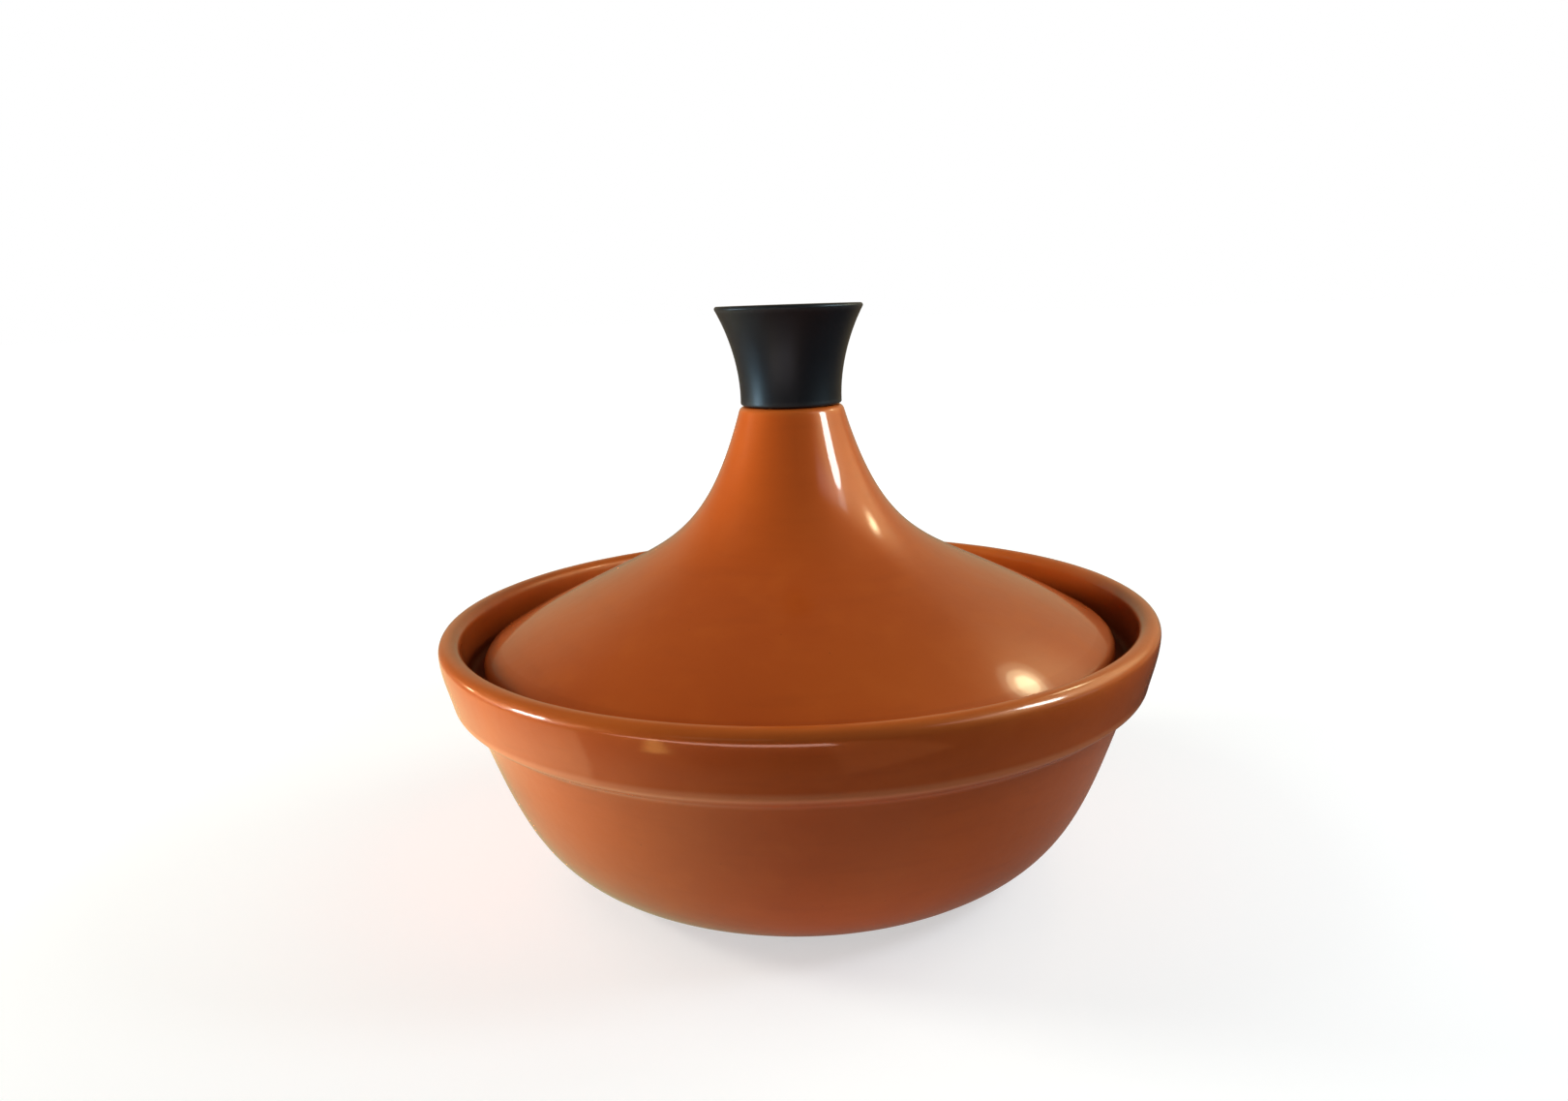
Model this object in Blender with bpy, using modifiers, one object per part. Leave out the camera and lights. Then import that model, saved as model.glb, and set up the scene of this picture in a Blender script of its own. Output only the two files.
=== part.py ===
"""Glazed stoneware tagine: a collared base bowl, a trumpet-shaped lid and a screwed-on flared knob.

Metres, +Z up. The origin is the middle of the foot, on the surface that the bowl stands on.
Every piece is turned about the Z axis from a half section in (radius, height).
"""
import math

import bmesh
import bpy
from mathutils import Matrix, Vector
from mathutils.geometry import interpolate_bezier

# Bowl, outside
BOWL_HEIGHT = 0.0980            # foot to the top of the lip
RIM_RADIUS = 0.1400             # outside of the lip
LIP_THICKNESS = 0.0082          # the lip is a full round of this width
COLLAR_HEIGHT = 0.0238          # top of the lip to the collar's lower edge
COLLAR_DRAW_IN = 0.0040         # how far the collar's lower edge lies inside the rim
COLLAR_LEAN = 11.0              # degrees from upright at the collar's lower edge
COLLAR_ROUNDING = 0.0035
COLLAR_PULLS = (0.30, 0.35)
STEP_WIDTH = 0.0070             # collar's lower edge in to the wall
STEP_DROP = 0.0048              # fall of the collar's underside over that width
STEP_FILLET = 0.0020
WALL_LEAN_TOP = 18.5            # degrees from upright just under the collar
WALL_LEAN_FOOT = 73.5           # degrees from upright where the wall meets the foot
WALL_PULLS = (0.48, 0.37)
FOOT_RADIUS = 0.0800
FOOT_WIDTH = 0.0065             # flat ring that touches the table
FOOT_RECESS = 0.0022            # underside inside the ring, above the table
FOOT_ROUNDING = 0.0020

# Bowl, inside
BOWL_WALL = 0.0085
MOUTH_THICKENING = 0.0030       # extra wall at the mouth, under the seat ledge
MOUTH_LAND = 0.0210             # below the ledge the inside runs this far straight to the mouth
MOUTH_ROUNDING = 0.0015
LEDGE_DEPTH = 0.0186            # top of the lip down to the seat ledge
LEDGE_FILLET = 0.0030
COLLAR_WALL_LEAN = 4.0          # degrees from upright of the collar's inside
FLOOR_THICKNESS = 0.0073
FLOOR_FILLET = 0.0400           # cooking floor into the wall

# Lid, heights from its seat face
LID_SIDE_GAP = 0.0066           # lid to the foot of the collar's inside, all round
LID_HEIGHT = 0.0990             # seat face to the flat top of the neck
LID_WALL = 0.0065
LID_EDGE_HEIGHT = 0.0086        # seat face to the corner where the dome meets the edge
LID_EDGE_ROUNDING = 0.0050
LID_SEAT_ROUNDING = 0.0025
EDGE_SLOPE = 32.0               # degrees that the dome falls at its edge
FLEX_INSET = 0.0385             # lid's edge in to where the dome turns from bulging to hollow
FLEX_HEIGHT = 0.0286
FLEX_SLOPE = 25.2
SKIRT_PULLS = (0.25, 0.36)      # from there out to the edge
HORN_PULLS = (0.525, 0.42)      # from the neck down to there
NECK_RADIUS = 0.0200            # top of the neck
NECK_SLOPE = 73.8
NECK_ROUNDING = 0.0028
NECK_TOP_THICKNESS = 0.0070     # closed top that the knob is bolted to
CEILING_ROUNDING = 0.0030       # inside, under the closed top
RIB_DEPTH = 0.0058              # locating rib below the seat face
RIB_WIDTH = 0.0065
RIB_CLEARANCE = 0.0008          # rib to the bowl's mouth, all round
RIB_ROUNDING = 0.0020

# Knob, heights from its lower edge
KNOB_HEIGHT = 0.0376
KNOB_BASE_INSET = 0.00035       # knob's lower edge inside the top of the neck
KNOB_BASE_SPREAD = 2.5          # degrees that the side spreads at its lower edge
KNOB_BASE_ROUNDING = 0.0008
KNOB_TOP_RADIUS = 0.0291
KNOB_FLARE = 29.4               # degrees from upright under the top edge
KNOB_PULLS = (0.293, 0.356)
KNOB_RIM_WIDTH = 0.0032
KNOB_RIM_ROUNDING = 0.0017
DISH_DEPTH = 0.0032             # hollow of the knob's top
DISH_PULLS = (0.33, 0.33)
KNOB_WALL = 0.0030              # wall at the lower edge
KNOB_TOP_WALL = 0.0035          # under the dish
CAVITY_DRAFT = 1.5              # degrees, so that the moulding draws off its core
CAVITY_ROUNDING = 0.0030
BOSS_WALL = 0.0030              # round the insert
KNOB_RIB_COUNT = 4
KNOB_RIB_THICKNESS = 0.0018
KNOB_RIB_SETBACK = 0.0006       # ribs stop this far above the boss's face

# Fastening
SCREW_RADIUS = 0.0024           # M5
SCREW_TIP_PROUD = 0.0001        # tip past the far end of the insert
SCREW_TIP_CHAMFER = 0.0007
SCREW_TIP_ROOM = 0.0026         # tip to the end of the knob's bore
SCREW_HOLE_CLEARANCE = 0.0008   # hole through the lid, round the screw
SCREW_HEAD_OVERHANG = 0.00235   # head past the shank, all round
SCREW_HEAD_HEIGHT = 0.0033
SCREW_HEAD_ROUNDING = 0.0020
INSERT_WALL = 0.0015
INSERT_LENGTH = 0.0120
INSERT_CHAMFER = 0.0004
WASHER_RADIUS = 0.0075
WASHER_THICKNESS = 0.0012
SEAL_RADIUS = 0.0080
SEAL_THICKNESS = 0.0015
GASKET_THICKNESS = 0.0014
GASKET_SIDE_GAP = 0.0004        # gasket to the inside of the knob's wall
WASHER_CLEARANCE = 0.0004       # washer and seal round the screw
REST_GAP = 0.0003               # between faces that rest on each other

# Facets round each turned piece and steps along each curve
BODY_FACETS = 60
KNOB_FACETS = 40
SMALL_FACETS = 24
COLLAR_STEPS = 4
WALL_STEPS = 9
HORN_STEPS = 10
SKIRT_STEPS = 4
KNOB_STEPS = 8
DISH_STEPS = 4
ROUNDING_FACET = 45.0           # degrees, the widest turn of one facet on a rounding
CREASE_ANGLE = 40.0
MERGE_DISTANCE = 0.00001

# Bowl sizes that the lid is fitted to
LIP_INSIDE = RIM_RADIUS - LIP_THICKNESS
LEDGE_RADIUS = LIP_INSIDE - LEDGE_DEPTH * math.tan(math.radians(COLLAR_WALL_LEAN))
LEDGE_HEIGHT = BOWL_HEIGHT - LEDGE_DEPTH
WALL_TOP_RADIUS = RIM_RADIUS - COLLAR_DRAW_IN - STEP_WIDTH
MOUTH_RADIUS = WALL_TOP_RADIUS - BOWL_WALL - MOUTH_THICKENING

# Lid sizes, with its seat face as height zero
SEAT_HEIGHT = LEDGE_HEIGHT + REST_GAP
LID_RADIUS = LEDGE_RADIUS - LID_SIDE_GAP
FLEX_RADIUS = LID_RADIUS - FLEX_INSET
CEILING_HEIGHT = LID_HEIGHT - NECK_TOP_THICKNESS
SCREW_HOLE_RADIUS = SCREW_RADIUS + SCREW_HOLE_CLEARANCE
SEAL_HEIGHT = CEILING_HEIGHT - REST_GAP - SEAL_THICKNESS
WASHER_HEIGHT = SEAL_HEIGHT - REST_GAP - WASHER_THICKNESS
SCREW_HEIGHT = WASHER_HEIGHT - REST_GAP
GASKET_HEIGHT = LID_HEIGHT + REST_GAP
KNOB_BASE_HEIGHT = LID_HEIGHT + REST_GAP
INSERT_HEIGHT = GASKET_HEIGHT + GASKET_THICKNESS + REST_GAP + REST_GAP
SCREW_LENGTH = INSERT_HEIGHT + INSERT_LENGTH + SCREW_TIP_PROUD - SCREW_HEIGHT

# Knob sizes, with its lower edge as height zero
KNOB_BASE_RADIUS = NECK_RADIUS - KNOB_BASE_INSET
BOSS_RECESS = GASKET_THICKNESS + REST_GAP
THREAD_BORE_RADIUS = SCREW_RADIUS + REST_GAP
INSERT_RADIUS = THREAD_BORE_RADIUS + INSERT_WALL
INSERT_BORE_RADIUS = INSERT_RADIUS + REST_GAP
INSERT_BORE_TOP = INSERT_HEIGHT + INSERT_LENGTH + SCREW_TIP_PROUD + SCREW_TIP_ROOM - KNOB_BASE_HEIGHT
BOSS_RADIUS = INSERT_BORE_RADIUS + BOSS_WALL


def heading(degrees):
    """Direction in the half section: 0 points outward, 90 down, 180 inward and 270 up."""
    turn = math.radians(degrees)
    return Vector((math.cos(turn), -math.sin(turn)))


def flow(start, leaves, end, arrives, pulls, steps):
    """Smooth curve that leaves one point and arrives at another along two headings.

    A pull is the share of the chord for which the curve holds to its heading.
    """
    chord = (end - start).length
    leaving = start + heading(leaves) * chord * pulls[0]
    arriving = end - heading(arrives) * chord * pulls[1]
    return interpolate_bezier(start, leaving, arriving, end, steps + 1)


def sunk(points, depth):
    """The same curve moved square to itself, to the right hand of its run."""
    moved = []
    for index, point in enumerate(points):
        before = points[max(index - 1, 0)]
        after = points[min(index + 1, len(points) - 1)]
        along = (after - before).normalized()
        moved.append(point + Vector((along.y, -along.x)) * depth)
    return moved


def from_limit(points, axis, limit):
    """Rest of a curve from where it passes a radius, axis 0, or a height, axis 1."""
    for index, (here, there) in enumerate(zip(points, points[1:])):
        if (here[axis] - limit) * (there[axis] - limit) <= 0.0:
            share = (limit - here[axis]) / (there[axis] - here[axis])
            return [here.lerp(there, share)] + points[index + 1:]
    return points


def plain(points):
    """Curve points as corners that stay as they are."""
    return [(point, 0.0) for point in points]


def corner(radius, height, rounding=0.0):
    """Corner of a half section, with the radius of its rounding."""
    return (Vector((radius, height)), rounding)


def side_room(side, next_rounding):
    """Length of a side that one rounding may take: half of it where the next corner is rounded too."""
    return side.length / 2 if next_rounding else side.length


def rounding_points(point, rounding, before, after):
    """Arc that rounds a corner, tangent to its two sides and kept within their room."""
    side_in = before[0] - point
    side_out = after[0] - point
    half = side_in.angle(side_out) / 2
    room = min(side_room(side_in, before[1]), side_room(side_out, after[1]))
    reach = min(rounding / math.tan(half), room)
    radius = reach * math.tan(half)
    middle = (side_in.normalized() + side_out.normalized()).normalized()
    centre = point + middle * (radius / math.sin(half))
    first = point + side_in.normalized() * reach - centre
    last = point + side_out.normalized() * reach - centre
    start = math.atan2(first.y, first.x)
    sweep = math.remainder(math.atan2(last.y, last.x) - start, math.tau)
    steps = math.ceil(abs(math.degrees(sweep)) / ROUNDING_FACET)
    angles = [start + sweep * step / steps for step in range(steps + 1)]
    return [centre + Vector((math.cos(angle), math.sin(angle))) * radius for angle in angles]


def outline(corners):
    """Points of a half section, with every rounding turned into its arc."""
    points = []
    count = len(corners)
    for index, (point, rounding) in enumerate(corners):
        if rounding == 0.0:
            arc = [point]
        else:
            arc = rounding_points(point, rounding, corners[index - 1], corners[(index + 1) % count])
        for candidate in arc:
            if not points or (candidate - points[-1]).length > MERGE_DISTANCE:
                points.append(candidate)
    return points


def finish(name, colour, roughness, metallic=0.0, coat=0.0):
    """Surface finish of one piece."""
    material = bpy.data.materials.new(name)
    material.use_nodes = True
    shader = material.node_tree.nodes["Principled BSDF"]
    shader.inputs["Base Color"].default_value = (*colour, 1.0)
    shader.inputs["Roughness"].default_value = roughness
    shader.inputs["Metallic"].default_value = metallic
    shader.inputs["Coat Weight"].default_value = coat
    material.diffuse_color = (*colour, 1.0)
    return material


def smooth_round(mesh):
    """Shade the round faces smooth and keep the real corners crisp."""
    mesh.shade_smooth()
    mesh.set_sharp_from_angle(angle=math.radians(CREASE_ANGLE))


def turned(name, points, facets, material, collection, is_ring):
    """Piece turned from a half section: a ring, or a solid that starts and ends on the axis."""
    edges = [(index, index + 1) for index in range(len(points) - 1)]
    if is_ring:
        edges.append((len(points) - 1, 0))
    section = bpy.data.meshes.new(name + "_section")
    section.from_pydata([(point.x, 0.0, point.y) for point in points], edges, [])
    piece = bpy.data.objects.new(name, section)
    collection.objects.link(piece)
    screw = piece.modifiers.new("turn", "SCREW")
    screw.axis = "Z"
    screw.angle = math.tau
    screw.steps = facets
    screw.render_steps = facets
    screw.use_merge_vertices = True
    screw.merge_threshold = MERGE_DISTANCE
    solid = bpy.data.meshes.new_from_object(piece.evaluated_get(bpy.context.evaluated_depsgraph_get()))
    solid.name = name
    piece.modifiers.clear()
    piece.data = solid
    bpy.data.meshes.remove(section)
    smooth_round(solid)
    solid.materials.append(material)
    return piece


def bowl_outline():
    """Half section of the bowl, from mid floor up the inside, over the lip and down to mid foot."""
    lip_bottom = Vector((RIM_RADIUS, BOWL_HEIGHT - LIP_THICKNESS / 2))
    collar_edge = Vector((RIM_RADIUS - COLLAR_DRAW_IN, BOWL_HEIGHT - COLLAR_HEIGHT))
    collar = flow(lip_bottom, 90, collar_edge, 90 + COLLAR_LEAN, COLLAR_PULLS, COLLAR_STEPS)
    wall_top = Vector((WALL_TOP_RADIUS, collar_edge.y - STEP_DROP))
    foot_edge = Vector((FOOT_RADIUS, 0.0))
    wall = flow(wall_top, 90 + WALL_LEAN_TOP, foot_edge, 90 + WALL_LEAN_FOOT, WALL_PULLS, WALL_STEPS)
    foot_inside = FOOT_RADIUS - FOOT_WIDTH
    floor_height = FOOT_RECESS + FLOOR_THICKNESS
    inside = from_limit(sunk(wall, BOWL_WALL), 1, LEDGE_HEIGHT - MOUTH_LAND)
    inside = from_limit(inside[::-1], 1, floor_height)
    return outline(
        [corner(0.0, floor_height)]
        + [(inside[0], FLOOR_FILLET)]
        + plain(inside[1:])
        + [corner(MOUTH_RADIUS, LEDGE_HEIGHT, MOUTH_ROUNDING)]
        + [corner(LEDGE_RADIUS, LEDGE_HEIGHT, LEDGE_FILLET)]
        + [corner(LIP_INSIDE, BOWL_HEIGHT, LIP_THICKNESS / 2)]
        + [corner(RIM_RADIUS, BOWL_HEIGHT, LIP_THICKNESS / 2)]
        + plain(collar[:-1])
        + [(collar_edge, COLLAR_ROUNDING)]
        + [(wall_top, STEP_FILLET)]
        + plain(wall[1:-1])
        + [(foot_edge, FOOT_ROUNDING)]
        + [corner(foot_inside, 0.0)]
        + [corner(foot_inside - FOOT_RECESS, FOOT_RECESS)]
        + [corner(0.0, FOOT_RECESS)])


def lid_outline():
    """Half section of the lid: trumpet outside, edge, seat, locating rib and even-walled inside."""
    neck = Vector((NECK_RADIUS, LID_HEIGHT))
    flex = Vector((FLEX_RADIUS, FLEX_HEIGHT))
    edge = Vector((LID_RADIUS, LID_EDGE_HEIGHT))
    horn = flow(neck, NECK_SLOPE, flex, FLEX_SLOPE, HORN_PULLS, HORN_STEPS)
    skirt = flow(flex, FLEX_SLOPE, edge, EDGE_SLOPE, SKIRT_PULLS, SKIRT_STEPS)
    outside = horn[:-1] + skirt
    rib_outer = MOUTH_RADIUS - RIB_CLEARANCE
    rib_inner = rib_outer - RIB_WIDTH
    inside = from_limit(sunk(outside, LID_WALL), 1, CEILING_HEIGHT)
    inside = from_limit(inside[::-1], 0, rib_inner)
    return outline(
        [corner(SCREW_HOLE_RADIUS, LID_HEIGHT)]
        + [(neck, NECK_ROUNDING)]
        + plain(outside[1:-1])
        + [(edge, LID_EDGE_ROUNDING)]
        + [corner(LID_RADIUS, 0.0, LID_SEAT_ROUNDING)]
        + [corner(rib_outer, 0.0)]
        + [corner(rib_outer, -RIB_DEPTH, RIB_ROUNDING)]
        + [corner(rib_inner, -RIB_DEPTH, RIB_ROUNDING)]
        + [(inside[0], LID_WALL)]
        + plain(inside[1:-1])
        + [(inside[-1], CEILING_ROUNDING)]
        + [corner(SCREW_HOLE_RADIUS, CEILING_HEIGHT)])


def cavity_radius(height):
    """Inside radius of the knob's wall, which draws in with height."""
    return KNOB_BASE_RADIUS - KNOB_WALL - height * math.tan(math.radians(CAVITY_DRAFT))


def knob_outline():
    """Half section of the knob: dished top, flared side, hollow underside and insert boss."""
    dish_radius = KNOB_TOP_RADIUS - KNOB_RIM_WIDTH
    dish_rise = math.degrees(2 * math.atan(DISH_DEPTH / dish_radius))
    dish_middle = Vector((0.0, KNOB_HEIGHT - DISH_DEPTH))
    dish_edge = Vector((dish_radius, KNOB_HEIGHT))
    dish = flow(dish_middle, 0, dish_edge, -dish_rise, DISH_PULLS, DISH_STEPS)
    top_edge = Vector((KNOB_TOP_RADIUS, KNOB_HEIGHT))
    base_edge = Vector((KNOB_BASE_RADIUS, 0.0))
    side = flow(top_edge, 90 + KNOB_FLARE, base_edge, 90 - KNOB_BASE_SPREAD, KNOB_PULLS, KNOB_STEPS)
    ceiling = KNOB_HEIGHT - DISH_DEPTH - KNOB_TOP_WALL
    return outline(
        plain(dish[:-1])
        + [(dish_edge, KNOB_RIM_ROUNDING)]
        + [(top_edge, KNOB_RIM_ROUNDING)]
        + plain(side[1:-1])
        + [(base_edge, KNOB_BASE_ROUNDING)]
        + [corner(cavity_radius(0.0), 0.0)]
        + [corner(cavity_radius(ceiling), ceiling, CAVITY_ROUNDING)]
        + [corner(BOSS_RADIUS, ceiling, CAVITY_ROUNDING / 2)]
        + [corner(BOSS_RADIUS, BOSS_RECESS)]
        + [corner(INSERT_BORE_RADIUS, BOSS_RECESS)]
        + [corner(INSERT_BORE_RADIUS, INSERT_BORE_TOP)]
        + [corner(0.0, INSERT_BORE_TOP)])


def screw_outline():
    """Half section of the pan-head screw, shank upward from the head's bearing face."""
    head_radius = SCREW_RADIUS + SCREW_HEAD_OVERHANG
    return outline([
        corner(0.0, SCREW_LENGTH),
        corner(SCREW_RADIUS - SCREW_TIP_CHAMFER, SCREW_LENGTH),
        corner(SCREW_RADIUS, SCREW_LENGTH - SCREW_TIP_CHAMFER),
        corner(SCREW_RADIUS, 0.0),
        corner(head_radius, 0.0),
        corner(head_radius, -SCREW_HEAD_HEIGHT, SCREW_HEAD_ROUNDING),
        corner(0.0, -SCREW_HEAD_HEIGHT)])


def insert_outline():
    """Half section of the threaded insert, with both ends chamfered."""
    return outline([
        corner(INSERT_RADIUS - INSERT_CHAMFER, INSERT_LENGTH),
        corner(INSERT_RADIUS, INSERT_LENGTH - INSERT_CHAMFER),
        corner(INSERT_RADIUS, INSERT_CHAMFER),
        corner(INSERT_RADIUS - INSERT_CHAMFER, 0.0),
        corner(THREAD_BORE_RADIUS, 0.0),
        corner(THREAD_BORE_RADIUS, INSERT_LENGTH)])


def ring_outline(outer, inner, height):
    """Half section of a flat ring that stands on height zero."""
    return outline([corner(outer, height), corner(outer, 0.0), corner(inner, 0.0), corner(inner, height)])


def rib_block(name, angle, cutters):
    """Block for one rib of the knob, from inside its boss to inside its wall."""
    bottom = BOSS_RECESS + KNOB_RIB_SETBACK
    top = KNOB_HEIGHT - DISH_DEPTH - KNOB_TOP_WALL / 2
    near = (INSERT_BORE_RADIUS + BOSS_RADIUS) / 2
    far = KNOB_BASE_RADIUS - KNOB_WALL / 2
    mesh = bpy.data.meshes.new(name)
    shape = bmesh.new()
    bmesh.ops.create_cube(shape, size=1.0)
    bmesh.ops.scale(shape, vec=(far - near, KNOB_RIB_THICKNESS, top - bottom), verts=shape.verts)
    bmesh.ops.translate(shape, vec=((near + far) / 2, 0.0, (bottom + top) / 2), verts=shape.verts)
    bmesh.ops.rotate(shape, cent=(0, 0, 0), matrix=Matrix.Rotation(angle, 3, "Z"), verts=shape.verts)
    shape.to_mesh(mesh)
    shape.free()
    block = bpy.data.objects.new(name, mesh)
    block.hide_render = True
    block.display_type = "WIRE"
    cutters.objects.link(block)
    return block


def add_knob_ribs(knob, cutters):
    """Tie the insert boss to the knob's wall with evenly spaced ribs."""
    for index in range(KNOB_RIB_COUNT):
        angle = math.tau * (index + 0.5) / KNOB_RIB_COUNT
        block = rib_block(f"rib_block_{index + 1}", angle, cutters)
        block.parent = knob
        union = knob.modifiers.new(f"rib_{index + 1}", "BOOLEAN")
        union.operation = "UNION"
        union.solver = "EXACT"
        union.object = block


def clear_scene():
    """Start from an empty scene."""
    for item in list(bpy.data.objects):
        bpy.data.objects.remove(item, do_unlink=True)


def new_collection(name):
    """Collection linked to the scene."""
    collection = bpy.data.collections.new(name)
    bpy.context.scene.collection.children.link(collection)
    return collection


def seat(piece, parent, height):
    """Stand a piece on the axis, at a height above its parent's origin."""
    piece.parent = parent
    piece.location = (0.0, 0.0, height)


def add_bowl(tagine, glaze):
    """Base bowl, standing on its foot."""
    turned("base_bowl", bowl_outline(), BODY_FACETS, glaze, tagine, is_ring=False)


def add_lid(tagine, lift_axis, glaze):
    """Lid, resting on the bowl's ledge."""
    lid = turned("lid", lid_outline(), BODY_FACETS, glaze, tagine, is_ring=True)
    seat(lid, lift_axis, 0.0)


def add_knob(tagine, cutters, lift_axis, phenolic):
    """Knob on the closed top of the lid's neck."""
    knob = turned("knob", knob_outline(), KNOB_FACETS, phenolic, tagine, is_ring=False)
    seat(knob, lift_axis, KNOB_BASE_HEIGHT)
    add_knob_ribs(knob, cutters)


def add_soft_seals(tagine, lift_axis, silicone):
    """Gasket between the neck and the knob's boss, and seal under the neck's ceiling."""
    gasket_radius = cavity_radius(BOSS_RECESS) - GASKET_SIDE_GAP
    gasket_section = ring_outline(gasket_radius, SCREW_HOLE_RADIUS, GASKET_THICKNESS)
    gasket = turned("knob_gasket", gasket_section, KNOB_FACETS, silicone, tagine, is_ring=True)
    seat(gasket, lift_axis, GASKET_HEIGHT)
    seal_section = ring_outline(SEAL_RADIUS, SCREW_RADIUS + WASHER_CLEARANCE, SEAL_THICKNESS)
    seal = turned("inner_seal", seal_section, SMALL_FACETS, silicone, tagine, is_ring=True)
    seat(seal, lift_axis, SEAL_HEIGHT)


def add_insert(tagine, lift_axis, brass):
    """Threaded insert in the knob's boss."""
    insert = turned("knob_insert", insert_outline(), SMALL_FACETS, brass, tagine, is_ring=True)
    seat(insert, lift_axis, INSERT_HEIGHT)


def add_screw(tagine, lift_axis, steel):
    """Screw from inside the lid up into the insert, with the washer under its head."""
    washer_section = ring_outline(WASHER_RADIUS, SCREW_RADIUS + WASHER_CLEARANCE, WASHER_THICKNESS)
    washer = turned("screw_washer", washer_section, SMALL_FACETS, steel, tagine, is_ring=True)
    seat(washer, lift_axis, WASHER_HEIGHT)
    screw = turned("knob_screw", screw_outline(), SMALL_FACETS, steel, tagine, is_ring=False)
    seat(screw, lift_axis, SCREW_HEIGHT)


def build():
    """Model every piece and put the tagine together, with its lid on."""
    clear_scene()
    tagine = new_collection("tagine")
    cutters = new_collection("tagine_cutters")

    glaze = finish("terracotta_glaze", (0.42, 0.09, 0.02), 0.22, coat=0.5)
    phenolic = finish("black_phenolic", (0.012, 0.013, 0.016), 0.38)
    brass = finish("turned_brass", (0.70, 0.49, 0.20), 0.30, metallic=1.0)
    steel = finish("zinc_plated_steel", (0.62, 0.63, 0.65), 0.28, metallic=1.0)
    silicone = finish("dark_silicone", (0.05, 0.05, 0.05), 0.70)

    lift_axis = bpy.data.objects.new("lid_lift_axis", None)
    lift_axis.location = (0.0, 0.0, SEAT_HEIGHT)
    tagine.objects.link(lift_axis)

    add_bowl(tagine, glaze)
    add_lid(tagine, lift_axis, glaze)
    add_knob(tagine, cutters, lift_axis, phenolic)
    add_soft_seals(tagine, lift_axis, silicone)
    add_insert(tagine, lift_axis, brass)
    add_screw(tagine, lift_axis, steel)
    bpy.context.view_layer.update()


build()
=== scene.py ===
"""Looks of a glazed stoneware tagine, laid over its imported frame.

Metres, +Z up, in the frame of the CAD: the foot stands on height zero and every piece is turned
about Z. Each solid is replaced by a finer piece of the same section: the glazed ware with its
slight unevenness, the cored knob, and the screw, insert, washer and seals that hold it.
"""
import math

import bmesh
import bpy
from mathutils import Matrix, Vector, noise
from mathutils.geometry import interpolate_bezier


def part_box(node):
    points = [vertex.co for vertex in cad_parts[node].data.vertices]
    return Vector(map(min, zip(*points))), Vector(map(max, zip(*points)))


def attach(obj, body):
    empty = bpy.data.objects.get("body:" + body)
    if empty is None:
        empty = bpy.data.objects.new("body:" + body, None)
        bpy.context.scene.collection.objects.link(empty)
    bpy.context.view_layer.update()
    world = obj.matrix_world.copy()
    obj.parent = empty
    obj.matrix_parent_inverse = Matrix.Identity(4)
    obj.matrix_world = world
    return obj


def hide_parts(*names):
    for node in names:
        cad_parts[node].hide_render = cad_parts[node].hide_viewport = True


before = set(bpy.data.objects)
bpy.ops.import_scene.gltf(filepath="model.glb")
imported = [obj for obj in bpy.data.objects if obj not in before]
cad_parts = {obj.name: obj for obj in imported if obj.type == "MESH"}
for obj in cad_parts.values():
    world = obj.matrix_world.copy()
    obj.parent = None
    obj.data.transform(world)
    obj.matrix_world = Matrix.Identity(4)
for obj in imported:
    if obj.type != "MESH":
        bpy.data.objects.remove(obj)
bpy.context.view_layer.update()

# Heights and radii that the frame gives
BOWL_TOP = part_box("base_bowl")[1]
RIM_RADIUS = BOWL_TOP.x
BOWL_HEIGHT = BOWL_TOP.z
LID_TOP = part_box("lid")[1]
KNOB_BOTTOM, KNOB_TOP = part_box("knob")
INSERT_BOTTOM, INSERT_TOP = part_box("knob_insert")
SCREW_BOTTOM, SCREW_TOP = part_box("knob_screw")
WASHER_BOTTOM, WASHER_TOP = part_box("screw_washer")
SEAL_BOTTOM, SEAL_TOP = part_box("inner_seal")
GASKET_BOTTOM, GASKET_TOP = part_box("knob_gasket")

# Bowl section
LIP_THICKNESS = 0.0082
COLLAR_HEIGHT = 0.0238
COLLAR_DRAW_IN = 0.0040
COLLAR_LEAN = 11.0
COLLAR_ROUNDING = 0.0035
COLLAR_PULLS = (0.30, 0.35)
STEP_WIDTH = 0.0070
STEP_DROP = 0.0048
STEP_FILLET = 0.0038
WALL_LEAN_TOP = 18.5
WALL_LEAN_FOOT = 73.5
WALL_PULLS = (0.48, 0.37)
FOOT_RADIUS = 0.0800
FOOT_WIDTH = 0.0065
FOOT_RECESS = 0.0022
FOOT_ROUNDING = 0.0020
BOWL_WALL = 0.0085
MOUTH_THICKENING = 0.0030
MOUTH_LAND = 0.0210
MOUTH_ROUNDING = 0.0015
LEDGE_DEPTH = 0.0186
LEDGE_FILLET = 0.0030
COLLAR_WALL_LEAN = 4.0
FLOOR_THICKNESS = 0.0073
FLOOR_FILLET = 0.0400

# Lid section, heights from its seat face
LID_SIDE_GAP = 0.0066
LID_WALL = 0.0065
LID_EDGE_HEIGHT = 0.0086
LID_EDGE_ROUNDING = 0.0050
LID_SEAT_ROUNDING = 0.0025
EDGE_SLOPE = 32.0
FLEX_INSET = 0.0385
FLEX_HEIGHT = 0.0286
FLEX_SLOPE = 25.2
SKIRT_PULLS = (0.25, 0.36)
HORN_PULLS = (0.525, 0.42)
NECK_RADIUS = 0.0200
NECK_SLOPE = 73.8
NECK_ROUNDING = 0.0028
NECK_TOP_THICKNESS = 0.0070
CEILING_ROUNDING = 0.0030
RIB_DEPTH = 0.0058
RIB_WIDTH = 0.0065
RIB_CLEARANCE = 0.0008
RIB_ROUNDING = 0.0020

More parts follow.
